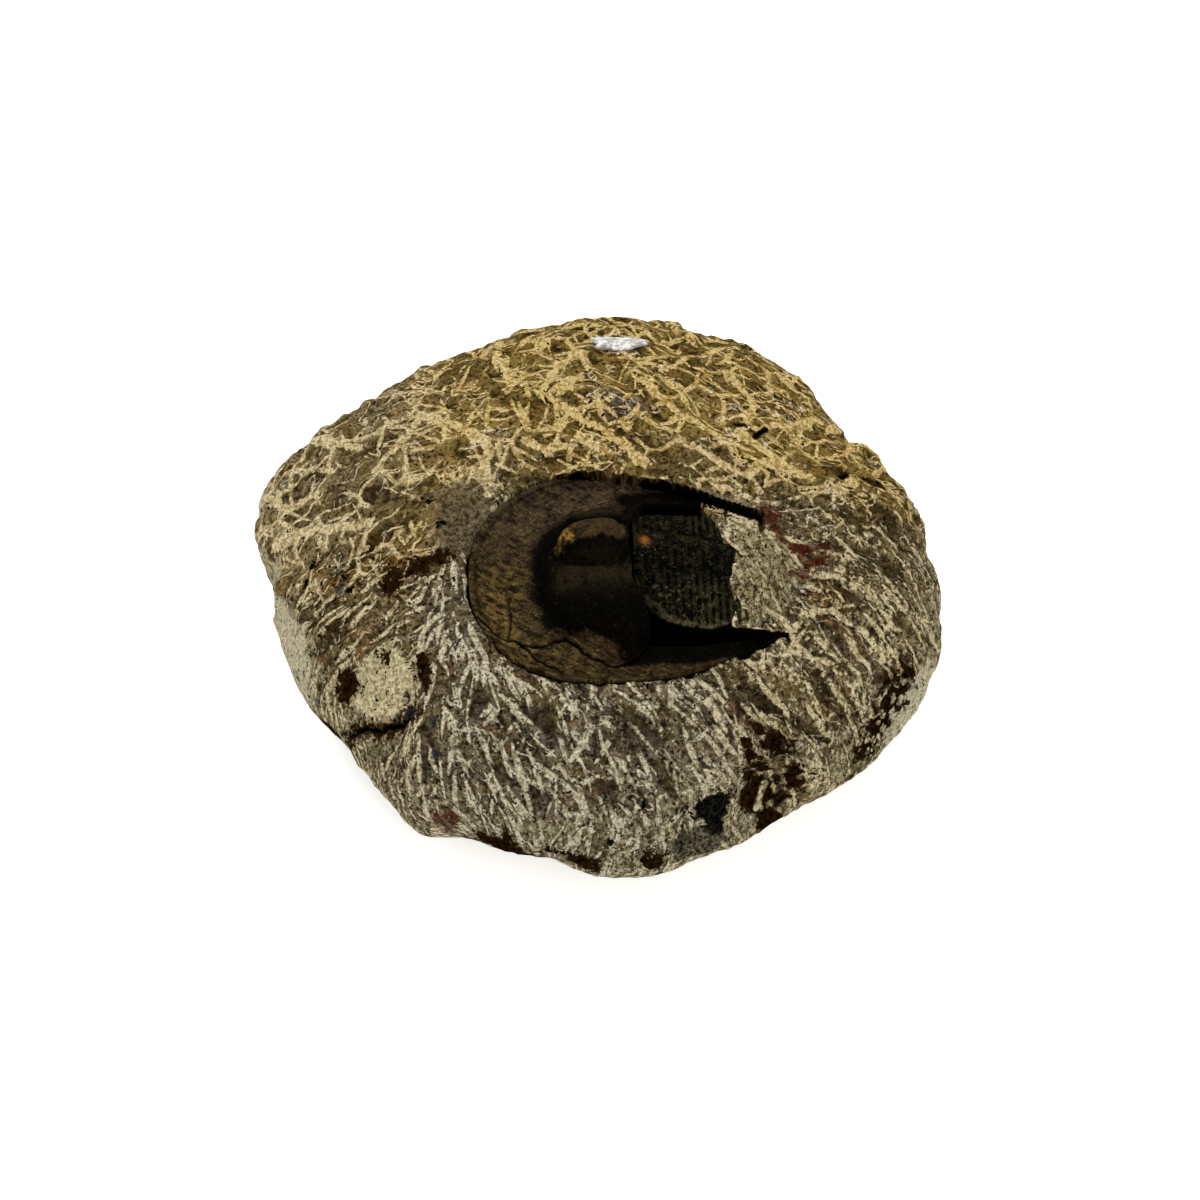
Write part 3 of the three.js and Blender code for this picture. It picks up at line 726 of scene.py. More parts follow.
def make_strokes():
    """Long straight strokes in one direction: the pattern is turned, and drawn out by Long to Wide, and
    each cell of a Voronoi pattern holds one stroke, thickest in the middle and with a small lean of
    its own. Share is how many of the cells hold one. Halo is the band along the stroke, which gives
    both the dust along it and the painted shadow beside it."""
    group, wires, given, result = new_group(
        "strokes",
        {"Place": "Vector", "Turn": "Float", "Long": "Float", "Wide": "Float", "Thick": "Float",
         "Share": "Float", "Seed": "Float"},
        {"Mask": "Float", "Halo": "Float"},
    )
    spun = wires.spin(given["Place"], wires.times(given["Turn"], -1.0))
    stretch = wires.point(given["Long"], given["Wide"], 1.0)
    shifted = wires.vector("ADD", spun, wires.point(given["Seed"], given["Seed"]))
    scaled = wires.vector("DIVIDE", shifted, stretch)
    cells = wires.cells(scaled, 1.0)
    from_middle = wires.vector("SUBTRACT", scaled, cells["Position"])
    away = wires.parts(wires.vector("MULTIPLY", from_middle, stretch))
    chance = wires.parts(cells["Color"])
    lean = wires.times(wires.math("SUBTRACT", chance[0], 0.5), 0.3)
    across = wires.scaled(away[0], lean, away[1])
    half = wires.times(given["Long"], wires.scaled(chance[1], 0.34, 0.26))
    out = wires.math("DIVIDE", away[0], half)
    taper = wires.most(wires.less(wires.times(out, out)), 0.0)
    thick = wires.times(given["Thick"], wires.scaled(chance[2], 0.5, 0.25))
    body = wires.scaled(wires.math("SQRT", taper), thick, 0.001)
    ratio = wires.math("DIVIDE", wires.math("ABSOLUTE", across), body)
    draw = wires.math("FRACT", wires.times(chance[0], 17.0))
    present = wires.times(wires.math("LESS_THAN", draw, given["Share"]), wires.fade(taper, 0.0, 0.12))
    wires.give(result, "Mask", wires.times(wires.fade(ratio, 1.25, 0.7), present))
    wires.give(result, "Halo", wires.times(wires.fade(ratio, 3.8, 0.9), present))
    return group


def make_grit():
    """Mottling and grain of stone and shell: a coarse noise, a fine noise, and a factor for the colour
    that the fine one makes darker in its pits and lighter on its grains."""
    group, wires, given, result = new_group(
        "grit",
        {"Place": "Vector", "Coarse": "Float", "Fine": "Float", "Pits": "Float", "Grains": "Float"},
        {"Mottle": "Float", "Grain": "Float", "Speck": "Float"},
    )
    mottle = wires.noise(given["Place"], given["Coarse"], 4.0, 0.62, dimensions="3D")
    grain = wires.noise(given["Place"], given["Fine"], 2.0, 0.7, dimensions="3D")
    lighter = wires.times(wires.fade(grain, 0.52, 0.72), given["Grains"])
    darker = wires.times(wires.fade(grain, 0.5, 0.3), given["Pits"])
    wires.give(result, "Mottle", mottle)
    wires.give(result, "Grain", grain)
    wires.give(result, "Speck", wires.math("SUBTRACT", wires.math("ADD", 1.0, lighter), darker))
    return group


strokes = make_strokes()
grit = make_grit()


def new_material(name):
    """Material with its wires and its Principled BSDF."""
    material = bpy.data.materials.new(name)
    material.use_nodes = True
    return material, Wires(material.node_tree), material.node_tree.nodes["Principled BSDF"]


def surface(wires, shader, colour, height, strength, roughness):
    """Joins a colour, the height of a fine relief in millimetres, and a roughness to the shader."""
    bump = wires.add("ShaderNodeBump", {"Strength": strength, "Distance": MM, "Height": height})
    wires.give(shader, "Base Color", colour)
    wires.give(shader, "Normal", bump.outputs[0])
    wires.give(shader, "Roughness", roughness)


def limestone():
    """Grey-brown stone under pale tool strokes. On the warm far half they stand in groups of parallel
    lines that cross, between facets with dusty edges. On the cool near half they comb the stone one
    way. Powder covers the sides, and oily stains have soaked into it."""
    material, wires, shader = new_material("limestone")
    skin = wires.attribute("skin")["Vector"]
    comb = wires.attribute("comb")["Vector"]
    warm, powder, stain, slab = wires.channels("tone")
    slate, ochre, rust, tongue = wires.channels("spots")
    shade_and_hairlines, scraped, chips, knobbed = wires.channels("worked")
    veins, smooth, rim, greenish = wires.channels("lines")
    yellow, holes, bluish, purple = wires.channels("hue")
    ridge, thread, cross, crumbly = wires.channels("ridges")
    mottle, grain, speck = wires.group(grit, skin, 0.8, 2.3, 0.5, 0.35)
    wear = wires.noise(skin, 1.3, 3.0, 0.65)
    cloud = wires.noise(skin, 0.16, 3.0, 0.6)

    # The pen's needle leaves short strokes. They waver, crumble at the edges and crowd on the ridges.
    bent = wires.scatter(wires.noise(skin, 0.16, 1.0, 0.5, 1), 1.3)
    ragged = wires.scatter(wires.noise(skin, 1.5, 3.0, 0.6, 1), 0.28)
    place = wires.vector("ADD", skin, wires.vector("ADD", bent, ragged))
    moved = wires.scaled(wires.math("SUBTRACT", cloud, 0.5), 2.0, warm)
    far_half = wires.math("GREATER_THAN", moved, 0.5)
    near_half = wires.less(far_half)
    groups = [wires.parts(wires.noise(skin, scale, 1.0, 0.5, 1)) for scale in (0.11, 0.14)]
    picks = [groups[0][0], groups[0][1], groups[0][2], groups[1][0], groups[1][1]]
    layers = []
    # On the near half most cells along the comb hold a stroke. On the far half the strokes stand in
    # groups, more of them where the stone is yellow, and they are a little longer and thinner.
    for number, (near, far) in enumerate(STROKE_LAYERS):
        near, far = np.radians(near), np.radians(far)
        turn = wires.scaled(far_half, far - near, near)
        axis = wires.point(wires.math("COSINE", wires.times(turn, 2.0)),
                           wires.math("SINE", wires.times(turn, 2.0)))
        close = wires.parts(wires.vector("MULTIPLY", axis, comb))
        close = wires.math("ADD", close[0], close[1])
        combed = wires.scaled(wires.fade(picks[number], 0.5, 0.64), 0.16,
                              wires.times(wires.fade(close, 0.4, 0.9), 0.78))
        combed = wires.times(combed, wires.scaled(yellow, 0.7, 1.04))
        crossed = wires.scaled(wires.fade(picks[number], 0.46, 0.6), 0.5,
                               wires.times(wires.fade(close, 0.2, 0.95), 0.35))
        crossed = wires.times(crossed, wires.scaled(yellow, 0.65, 0.27))
        share = wires.scaled(far_half, wires.math("SUBTRACT", crossed, combed), combed)
        long = wires.scaled(far_half, 1.0, 7.5)
        wide = wires.scaled(far_half, -0.1, 2.1)
        thick = wires.scaled(far_half, -0.22, 0.74)
        layers.append(wires.group(strokes, place, turn, long, wide, thick, share, 17.3 * number))
    crumble = wires.scaled(wires.noise(skin, 1.0, 3.0, 0.6), 1.6, -0.8)
    rough_ridge = wires.math("ADD", ridge, crumble)
    crowd = wires.most(wires.fade(rough_ridge, -1.7, -0.9), far_half)
    flake = wires.noise(skin, 0.95, 5.0, 0.72)
    raised = wires.scaled(crumbly, 0.05, wires.scaled(ridge, 0.045, flake))
    crest = wires.times(wires.fade(raised, 0.64, 0.67), near_half)
    band = wires.times(wires.fade(wires.math("ADD", cross, crumble), 1.4, 1.65),
                       wires.times(far_half, yellow))
    seam = wires.scaled(wires.math("SUBTRACT", wear, 0.5), 0.12,
                        wires.cells(place, 0.17, "DISTANCE_TO_EDGE")["Distance"])
    seams = wires.times(wires.fade(seam, 0.075, 0.05),
                        wires.times(far_half, wires.fade(groups[1][2], 0.42, 0.52)))
    threads = wires.times(wires.fade(wires.math("ABSOLUTE", thread), 0.22, 0.08),
                          wires.fade(groups[1][0], 0.42, 0.55))
    veined = wires.uneven(veins, wear, 1.3, 0.3, 0.55)
    dust_and_shadow = wires.most(*(layer["Halo"] for layer in layers))
    bare = wires.less(wires.times(wires.most(scraped, wires.fade(tongue, 0.1, 0.4)), 0.8))
    marks = wires.times(wires.most(*(layer["Mask"] for layer in layers)),
                        wires.most(wires.fade(wear, 0.24, 0.36), wires.times(far_half, 0.6)))
    marks = wires.most(wires.times(marks, crowd), crest, band, seams)
    marks = wires.times(wires.most(marks, veined), bare)
    fine = wires.times(threads, wires.fade(wear, 0.4, 0.55), bare)
    dust = wires.uneven(wires.most(wires.times(dust_and_shadow, 0.9), wires.fade(chips, 0.3, 0.9)), wear, 1.9, 0.65,
                        1.15)
    dust = wires.times(dust, bare, 0.45)

    # Stone between the strokes.
    olive = wires.tones(mottle, 0.36, 0.62, "#483813", "#937b42")
    grey = wires.tones(mottle, 0.36, 0.62, "#4a3c27", "#94856a")
    plum = wires.tones(mottle, 0.36, 0.62, "#453627", "#8c7d68")
    cool = wires.mix(wires.fade(cloud, 0.46, 0.6), grey, plum)
    stone = wires.mix(yellow, cool, olive)
    stone = wires.cover(stone, wires.fade(cloud, 0.48, 0.36), 0.4, "#7a6737")
    stone = wires.mix(wires.uneven(purple, mottle, 1.0, 0.2, 0.6), stone, plum)
    facet = wires.parts(wires.cells(place, 0.24)["Color"])
    stone = wires.mix(1.0, stone, wires.scaled(facet[0], 0.62, 0.76), "MULTIPLY")
    burnt = wires.times(wires.fade(facet[1], 0.78, 0.9), wires.fade(mottle, 0.4, 0.6))
    stone = wires.cover(stone, burnt, 0.5, "#8a5a24")
    earth = wires.uneven(ochre, mottle, 1.0, 0.2, 0.6)
    stone = wires.cover(stone, earth, 0.85, wires.tones(wear, 0.36, 0.64, "#2c1e0c", "#94713a"))
    # Painted shade: darker where the wear noise, which also raises the bump, is low, and in the troughs
    # between the rows of ridges.
    stone = wires.cover(stone, wires.fade(wear, 0.46, 0.32), 0.75, "#1f1508")
    stone = wires.cover(stone, wires.fade(rough_ridge, -0.4, -1.5), 0.65, "#231a0c")
    sand = wires.tones(wear, 0.4, 0.62, "#6f6447", "#cbbf97")
    patchy = wires.noise(skin, 0.3, 3.0, 0.6)
    loose = wires.uneven(wires.uneven(powder, patchy, 3.6, 0.4, 1.0), mottle, 1.2, 0.3, 0.7)
    stone = wires.cover(stone, loose, 0.9, sand)
    # Painted shadow: the stone beside each stroke is darkened, more on the near half than on the far.
    beside = wires.times(dust_and_shadow, wires.scaled(far_half, -0.5, 0.75))
    stone = wires.mix(beside, stone, wires.mix(0.75, stone, "#171006"))
    chalk = wires.mix(yellow, "#ece1bf", "#f3d795")
    dim = wires.mix(yellow, "#a99c7c", "#b89650")
    chalk = wires.mix(wires.fade(wires.math("ADD", wear, mottle), 1.08, 0.84), chalk, dim)
    colour = wires.mix(dust, stone, dim)
    colour = wires.mix(marks, colour, chalk)
    colour = wires.cover(colour, fine, 0.8, wires.mix(yellow, "#efe5c4", "#fbe7b8"))

    # The crust on the sides, the pale slab, the tongue over the tail with its wisps of dust, the rim
    # beside the horn, the scraped place beside the brim, and the pits.
    crust = wires.uneven(smooth, mottle, 1.2, 0.4, 0.8)
    colour = wires.cover(colour, crust, 0.85, wires.tones(mottle, 0.3, 0.6, "#b8ab88", "#e2d7b4"))
    flaked = wires.uneven(slab, mottle, 0.6, 0.18, 0.3)
    colour = wires.mix(flaked, colour, wires.tones(wear, 0.35, 0.6, "#a8966e", "#eedfb2"))
    drawn = wires.vector("MULTIPLY", wires.spin(place, -2.0), (0.5, 1.5, 1.0))
    wisp = wires.noise(drawn, 1.0, 4.0, 0.65)
    wisps = wires.times(wires.fade(tongue, 0.0, 0.3), wires.fade(wisp, 0.5, 0.66))
    colour = wires.cover(colour, wires.fade(tongue, 0.05, 0.35), 0.7,
                         wires.tones(wires.math("ADD", mottle, wear), 0.85, 1.15, "#4e4225", "#b5a679"))
    colour = wires.cover(colour, wisps, 0.85, "#ddd2a8")
    colour = wires.mix(wires.uneven(rim, mottle, 1.6, 0.5, 1.1), colour, "#857e62")
    colour = wires.cover(colour, scraped, 0.85, wires.tones(wear, 0.36, 0.64, "#453823", "#86765a"))
    pits = wires.times(wires.fade(wires.noise(skin, 0.75, 4.0, 0.75), 0.432, 0.362),
                       wires.less(wires.most(wires.times(scraped, 0.8), flaked)))
    colour = wires.mix(wires.times(pits, wires.scaled(far_half, -0.65, 0.85)), colour, "#150f09")

    # Oily stains with clean knobs in them, the slate patch, blue spots, holes, rusty cracks, and the
    # painted shade of the bed's walls, of the gap under the lapping stone and of the cracks.
    knobs = wires.times(wires.uneven(wires.cells(place, 0.7)["Distance"], wear, -0.9, 0.4, 0.28),
                        wires.fade(knobbed, 0.1, 0.3))
    knobs = wires.most(knobs, wires.fade(veins, 0.2, 0.5))
    ripple = wires.scaled(wires.math("SUBTRACT", wear, 0.5), 0.8, mottle)
    soaked = wires.math("SUBTRACT", wires.uneven(stain, ripple, 2.4, 0.34, 0.46), knobs, clamp=True)
    colour = wires.mix(soaked, colour, wires.tones(wear, 0.38, 0.6, "#0c0602", "#301c08"))
    green = wires.uneven(greenish, ripple, 1.8, 0.3, 0.6)
    colour = wires.cover(colour, green, 0.85, wires.tones(wear, 0.42, 0.64, "#14140d", "#6b6750"))
    blue = wires.uneven(slate, ripple, 1.4, 0.25, 0.45)
    colour = wires.mix(blue, colour, wires.tones(wear, 0.42, 0.66, "#060707", "#26231a"))
    blue = wires.uneven(bluish, ripple, 1.0, 0.4, 0.6)
    colour = wires.cover(colour, blue, 0.85, "#1c2530")
    colour = wires.mix(wires.uneven(holes, ripple, 1.7, 0.35, 0.55), colour, "#080604")
    red = wires.times(wires.uneven(rust, ripple, 2.4, 0.3, 0.5), wires.fade(rust, 0.02, 0.2))
    colour = wires.cover(colour, red, 0.85, wires.tones(wear, 0.4, 0.6, "#220904", "#5c1d10"))
    # Painted shade on the bed's walls, in the gap and in the cracks: mottled dark brown, then near-black.
    shade_brown = wires.tones(wear, 0.4, 0.6, "#120c06", "#4a3a22")
    colour = wires.mix(wires.uneven(shade_and_hairlines, wear, 0.3, 0.1, 0.25), colour, shade_brown)
    shade = wires.uneven(shade_and_hairlines, wear, 0.5, 0.38, 0.6)
    colour = wires.mix(shade, colour, "#040302")
    colour = wires.mix(1.0, colour, speck, "MULTIPLY")
    height = wires.scaled(wear, 1.2, wires.times(grain, 0.35))
    height = wires.scaled(flake, 1.3, height)
    surface(wires, shader, colour, height, 1.0, wires.scaled(marks, 0.2, 0.75))
    shader.inputs["Specular IOR Level"].default_value = 0.0
    return material


nodule.data.materials.append(limestone())
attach(nodule, "root")
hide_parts("matrix")

# --- The head shield ------------------------------------------------------------------------------
# One shell of dark calcite: a wide flat brim in a horseshoe, steep cheeks inside it, a high glabella in
# the middle with an eye on each side, and two long horns. It lies in its bed in the stone, and fine
# cracks run through the near half of the brim.

CHEEK = {"rise": 3.4, "run": 0.42, "crown": 2.9}
GLABELLA = {"u": -2.4, "v": 1.6, "long": 5.2, "wide": 3.3, "high": 3.3, "power": 2.6, "furrow": 0.7}
EYES = {"u": -5.2, "apart": 4.9, "wide": 0.95, "high": 0.9}
SHELL_FLOOR = -2.2
SHELL_UNDER = 8  # columns of the underside
CRACKS = [
    [(-18.9, -6.6), (-17.4, -8.1), (-15.6, -10), (-14.1, -10.3), (-13.2, -10.8), (-11.7, -11.5),
     (-9.2, -11.4), (-7.4, -10.6), (-6.4, -10.4), (-5.2, -11.6), (-4, -13), (-1.6, -14.1), (0.2, -15.3),
     (2.1, -14.9), (3.7, -13.7), (4.6, -12.3), (6.8, -11.8)],
    [(-14.1, -10.3), (-12.2, -11.7), (-10.2, -14.1), (-7.1, -16)],
    [(-14.2, -3.6), (-14.1, -7), (-14.2, -10.1)],
]


def head_height(u, v):
    """Height of the shield over its level. The brim is dished between the girder and its lip and droops
    along the horns. Inside the girder the cheeks rise steeply, and the glabella, the eyes and the
    ring at the back stand on them as rounded forms. Gives also how far each point lies out towards
    the girder, across the brim, and out from the middle of the glabella."""
    ahead = u < 0
    outer = np.where(ahead, oval(u, v, BRIM["front"], BRIM["half"], BRIM["power"]),
                     np.abs(v) / margin_at(u))
    inner = np.where(ahead, oval(u, v, GIRDER["front"], GIRDER["half"], BRIM["power"]),
                     np.abs(v) / inner_at(u))
    from_girder = 1 - 1 / np.maximum(inner, 1)
    to_margin = 1 / np.clip(outer, 1e-6, 1) - 1
    across = np.clip(from_girder / np.maximum(1e-6, from_girder + to_margin), 0, 1)
    droop = BRIM["droop"] * (np.maximum(0, u) / BRIM["back"]) ** 2
    brim = BRIM["lip"] * ease(0.8, 1, across) - BRIM["dish"] * np.sin(np.pi * across) - droop
    steep = 1 - (1 - np.clip((1 - inner) / CHEEK["run"], 0, 1)) ** 2.2
    cheek = CHEEK["rise"] * steep + CHEEK["crown"] * (1 - inner**2)
    g = GLABELLA
    girth = g["wide"] * (1 + 0.12 * (u - g["u"]) / g["long"])
    dome = oval(u - g["u"], v - g["v"], g["long"], girth, g["power"])
    glabella = g["high"] * np.sqrt(np.clip(1 - dome**2, 0, 1))
    furrow = g["furrow"] * bell((dome - 1.08) / 0.14)
    eye = bell(np.hypot(u - EYES["u"], np.abs(v - g["v"]) - EYES["apart"]) / EYES["wide"])
    ring = REAR["ring"] * bell((u - REAR["middle"] + 0.4) / 0.6) * ease(4.6, 3.4, np.abs(v - g["v"]))
    rear = REAR["middle"] + (REAR["side"] - REAR["middle"]) * ease(4, 11, np.abs(v))
    border = REAR["furrow"] * bell((u - rear + 1.4) / 0.4)
    middle = cheek + glabella - furrow + EYES["high"] * eye + ring - border
    return np.where(inner >= 1, brim, middle), inner, across, dome


def shield_plan(along, across):
    """Plan of the shield, ruled between its outer margin and its hind margin with the horns' inner
    edges. along runs from -1 at one horn's tip to 1 at the other."""
    side = np.where(along < 0, 1, -1)
    share = 2 * np.abs(along)
    front = share <= 1
    angle = np.clip(share, 0, 1) * np.pi / 2
    power = 2 / BRIM["power"]
    back = np.clip(share - 1, 0, 1)
    outer_u = np.where(front, -BRIM["front"] * np.clip(np.cos(angle), 0, 1) ** power, BRIM["back"] * back)
    outer_v = np.where(front, BRIM["half"] * np.sin(angle) ** power, margin_at(BRIM["back"] * back))
    hind_v = inner_at(REAR["side"]) * np.clip(share, 0, 1)
    hind_u = REAR["middle"] + (REAR["side"] - REAR["middle"]) * ease(4, 11, hind_v)
    horn_u = REAR["side"] + (BRIM["back"] - REAR["side"]) * back
    inner_u = np.where(front, hind_u, horn_u)
    inner_v = np.where(front, hind_v, inner_at(horn_u))
    return outer_u + (inner_u - outer_u) * across, side * (outer_v + (inner_v - outer_v) * across)


def in_bed(u, v, height):
    """Points in the part's frame from the fossil's own plan and a height over its level."""
    cos, sin = np.cos(FOSSIL["turn"]), np.sin(FOSSIL["turn"])
    return joined(FOSSIL["x"] + u * cos - v * sin, FOSSIL["y"] + u * sin + v * cos,
                  FOSSIL["level"] + height)


def closed_shell(name, upper, lower):
    """Closed skin of a shell in the bed, from its upper side and its underside, each given as the
    fossil's own plan and a height over its level, and marked with them."""
    surface_points = np.concatenate([joined(*upper), joined(*lower)], axis=1)
    piece = closed_skin(name, in_bed(*np.moveaxis(surface_points, -1, 0)))
    mark(piece, "plan", surface_points)
    return piece


def with_underside(values, under):
    """Adds the underside's columns to the upper side's, so that each row is a closed loop."""
    return np.concatenate([values, np.repeat(values[:, -1:], under, axis=1)], axis=1)


along = np.linspace(-1, 1, 560)[:, None]
u, v = shield_plan(along, np.linspace(0, 1, 140)[None, :])
height, inner, brim_share, dome = head_height(u, v)
plan = joined(u, v, 0 * u)
torn_plan = shaken(plan, 0.25, 0.9, 1, 71, 72)
cracked = largest(*(along_path(torn_plan, [(*place, 0) for place in places], wide)
                    for places, wide in zip(CRACKS, (0.28, 0.22, 0.14))))
cracked = np.clip(2 * cracked, 0, 1)
rim_furrow = bell((brim_share - 0.9) / 0.025) * ease(4, -6, u)
height = (height - 0.3 * cracked - 0.12 * rim_furrow + 0.12 * layered(plan, 3.2, 4, 73)
          + 0.05 * noise(plan, 0.5, 77))
low_u, low_v = shield_plan(along, np.linspace(1, 0, SHELL_UNDER)[None, :])
head = closed_shell("head_shield", (u, v, height), (low_u, low_v, SHELL_FLOOR + 0 * low_u))

# Where the shell is golden; where it is black on the cheeks and the horns' inner halves, its own dark
# with painted shade on the steep flanks and in the hollows by the horns; and where painted light
# makes the glabella's crest and the cheeks' tops paler.
golden = np.clip(bell((u + 15.5) / 4.5) * ease(9, -2, v) * ease(-18, -10, v)
                 + 0.6 * bell((u + 10) / 6) * bell((v + 13) / 3), 0, 1)
inside_horn = ease(-1, 3.5, u) * ease(4, 1.2, np.abs(v) - inner_at(np.maximum(u, REAR["side"])))
dark_shell_and_shade = np.clip(ease(1.04 + 0.26 * ease(-3, -9, u), 0.86, inner) + inside_horn, 0, 1)
crest = ease(-0.6, 0.6, v) * ease(1.04, 0.92, dome) * ease(3.5, 1.5, u)
knob = bell(np.hypot(u + 6.1, v - 1.6) / 1.8)
lit_cheek = np.maximum(bell((v + 3.7) / 2) * ease(-9, -7, u) * ease(0.95, 0.7, inner),
                        ease(6, 8, v) * ease(12, 10.5, v) * ease(-6, -4, u) * ease(2.6, 1.6, u))
furrows = np.maximum(cracked, 0.5 * rim_furrow)
reddish = bell((v + 13) / 1.8) * bell(u / 5)
for name, shares in (("tone", (golden, ease(2, 9, v), dark_shell_and_shade, crest)),
                     ("wear", (furrows, knob, lit_cheek, reddish))):
    mark(head, name, *(with_underside(share, SHELL_UNDER) for share in shares))


def head_shell():
    """Dark brown shell with golden mottling in front, plum-brown on the far side and black on the cheeks
    and the horns' inner halves, where the black is partly the shell's own and partly painted shade.
    The glabella's crest is painted paler as painted light on its lit top, and fine pale hairs lie on
    it. The tops of the cheeks are painted lighter as lit places."""
    material, wires, shader = new_material("head_shell")
    plan = wires.attribute("plan")["Vector"]
    golden, far_side, dark_shell_and_shade, crest = wires.channels("tone")
    cracked, knob, lit_cheek, reddish = wires.channels("wear")
    mottle, grain, speck = wires.group(grit, plan, 0.9, 3.0, 0.6, 0.5)
    cloud = wires.noise(plan, 0.3, 3.0, 0.6, dimensions="3D")
    shell = wires.tones(mottle, 0.28, 0.72, "#120d06", "#3c301a")
    plum = wires.tones(mottle, 0.28, 0.72, "#150e0a", "#483a2a")
    shell = wires.cover(shell, far_side, 0.85, plum)
    shell = wires.cover(shell, reddish, 0.6, "#2a180e")
    drawn = wires.vector("MULTIPLY", wires.spin(plan, 0.5), (0.5, 1.6, 1.0))
    fibre = wires.noise(drawn, 0.9, 4.0, 0.7, dimensions="3D")
    shell = wires.cover(shell, wires.fade(fibre, 0.5, 0.64), 0.6, "#54432a")
    shell = wires.cover(shell, wires.fade(fibre, 0.47, 0.36), 0.7, "#0c0804")
    gilt = wires.uneven(golden, mottle, 1.8, 0.4, 1.3)
    leaf = wires.tones(wires.math("ADD", fibre, mottle), 0.85, 1.12, "#21180b", "#64502a")
    shell = wires.cover(shell, gilt, 0.75, leaf)
    # Painted shade with the shell's own black: near-black on the steep flanks of the cheeks and in the
    # hollows inside the horns.
    smoke = wires.scaled(cloud, 1.3, wires.times(mottle, 0.7))
    burnt = wires.uneven(dark_shell_and_shade, smoke, 0.9, 0.65, 1.15)
    shell = wires.cover(shell, burnt, 0.97, "#030302")
    # Painted light: the top of the near cheek and a strip of the far cheek are lighter, as lit places.
    shell = wires.mix(wires.times(lit_cheek, wires.fade(mottle, 0.3, 0.52)), shell, "#221d0f")
    # Painted highlight: the glabella's crest is paler, as its lit top.
    shell = wires.mix(wires.uneven(crest, mottle, 2.6, 0.35, 1.15), shell, "#382c19")
    shell = wires.mix(wires.uneven(knob, mottle, 2.6, 0.4, 1.1), shell,
                      wires.tones(grain, 0.4, 0.6, "#3a260f", "#8a672b"))
    from_ring = wires.math("ABSOLUTE", wires.math("SUBTRACT", knob, 0.5))
    ringed = wires.times(wires.fade(from_ring, 0.14, 0.05), 0.6)
    shell = wires.mix(wires.times(ringed, wires.fade(mottle, 0.6, 0.4)), shell, "#0c0904")
    hairs = [wires.group(strokes, plan, 0.5, 1.9, 0.6, 0.11, 0.5, 3.3),
             wires.group(strokes, plan, 2.2, 1.7, 0.6, 0.11, 0.5, 23.1)]
    fine = wires.times(wires.most(hairs[0]["Mask"], hairs[1]["Mask"]), wires.fade(grain, 0.4, 0.6))
    shown = wires.math("SUBTRACT", 0.26, wires.times(burnt, 0.24))
    shell = wires.mix(wires.times(fine, shown), shell, "#857550")
    shell = wires.mix(cracked, shell, "#030201")
    shell = wires.mix(1.0, shell, speck, "MULTIPLY")
    height = wires.scaled(grain, 0.25, wires.times(mottle, 0.3))
    surface(wires, shader, shell, height, 1.0, wires.scaled(grain, 0.3, 0.45))
    shader.inputs["Specular IOR Level"].default_value = 0.008
    return material


head.data.materials.append(head_shell())
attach(head, "root")
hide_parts("cephalon")

# --- The thorax -----------------------------------------------------------------------------------
# The ribbed middle of the animal, about fourteen narrow segments of nearly black shell. Each has a
# raised ring on the axis and a flat rib to each side that turns down at its end. The stone still
# covers the hindmost segments and the tail.

SEGMENT = {"count": 15, "long": 1.02, "rib": 0.4}
THORAX = {"middle": 1.4, "axis_half": 3.2, "axis_high": 1.7, "flank": 5.3, "end": 1.3}
THORAX_FALL = {"flank": 0.3, "end": 0.08}  # drop towards the tail, per millimetre
THORAX_UNDER = 6  # columns of the underside


def rib_end(u, near):
    """Where the ribs end on each side. On the near side the foremost are drawn in under the head."""
    return np.where(near, 10.5 - 6.2 * np.exp((3.9 - u) / 3.2) - 0.9 * ease(12.5, 16.5, u), 9.9)


def thorax_height(u, v):
    """Height of the thorax over the fossil's level: a round axis between flanks that turn down to the
    ribs' ends, one rib for each segment, and a fall towards the buried tail. Gives also the ribs'
    own height, from 0 in the furrows to 1 on the crests."""
    back = u - REAR["middle"]
    aside = np.abs(v - THORAX["middle"])
    axis_half = THORAX["axis_half"] - 0.05 * back
    far = aside / axis_half
    axis = (THORAX["axis_high"] - 0.04 * back) * np.sqrt(np.clip(1 - far**2, 0, 1))
    end = rib_end(u, v < 0) - np.sign(v) * THORAX["middle"]
    out = np.clip((aside - axis_half) / (end - axis_half), 0, 1)
    flank = THORAX["flank"] - THORAX_FALL["flank"] * back
    low = THORAX["end"] - THORAX_FALL["end"] * back
    beat = np.abs(np.sin(np.pi * back / SEGMENT["long"])) ** 0.7
    groove = 0.35 * bell((far - 1.06) / 0.1)
    return flank + (low - flank) * out**1.8 + axis + SEGMENT["rib"] * beat - groove, beat


lengthways = np.linspace(3.3, REAR["middle"] + SEGMENT["count"] * SEGMENT["long"] + 0.6, 330)[:, None]
notch = np.abs(np.sin(np.pi * (lengthways - REAR["middle"]) / SEGMENT["long"]))
near_edge = 0.25 - rib_end(lengthways, True) - 0.25 * notch
far_edge = rib_end(lengthways, False) - 0.3 + 0.25 * notch
v = near_edge + (far_edge - near_edge) * np.linspace(0, 1, 150)[None, :]
u = lengthways + 0.06 * np.maximum(0, np.abs(v - THORAX["middle"]) - 3.5)
height, beat = thorax_height(u, v)
crisp = np.clip(ease(9, 13, u) * (ease(-2, -4, v) + ease(4.5, 6, v)), 0, 1)
plan = joined(u, v, 0 * u)
height -= (SEGMENT["rib"] * beat * 0.85 - 0.16 * layered(plan, 1.3, 2, 83)) * (1 - crisp)
edge = np.minimum(v - near_edge, far_edge - v)
height = (height - 0.9 * (1 - ease(0, 0.8, edge)) ** 2 + 0.2 * layered(plan, 1.7, 3, 81)
          + 0.07 * noise(plan, 0.45, 85))
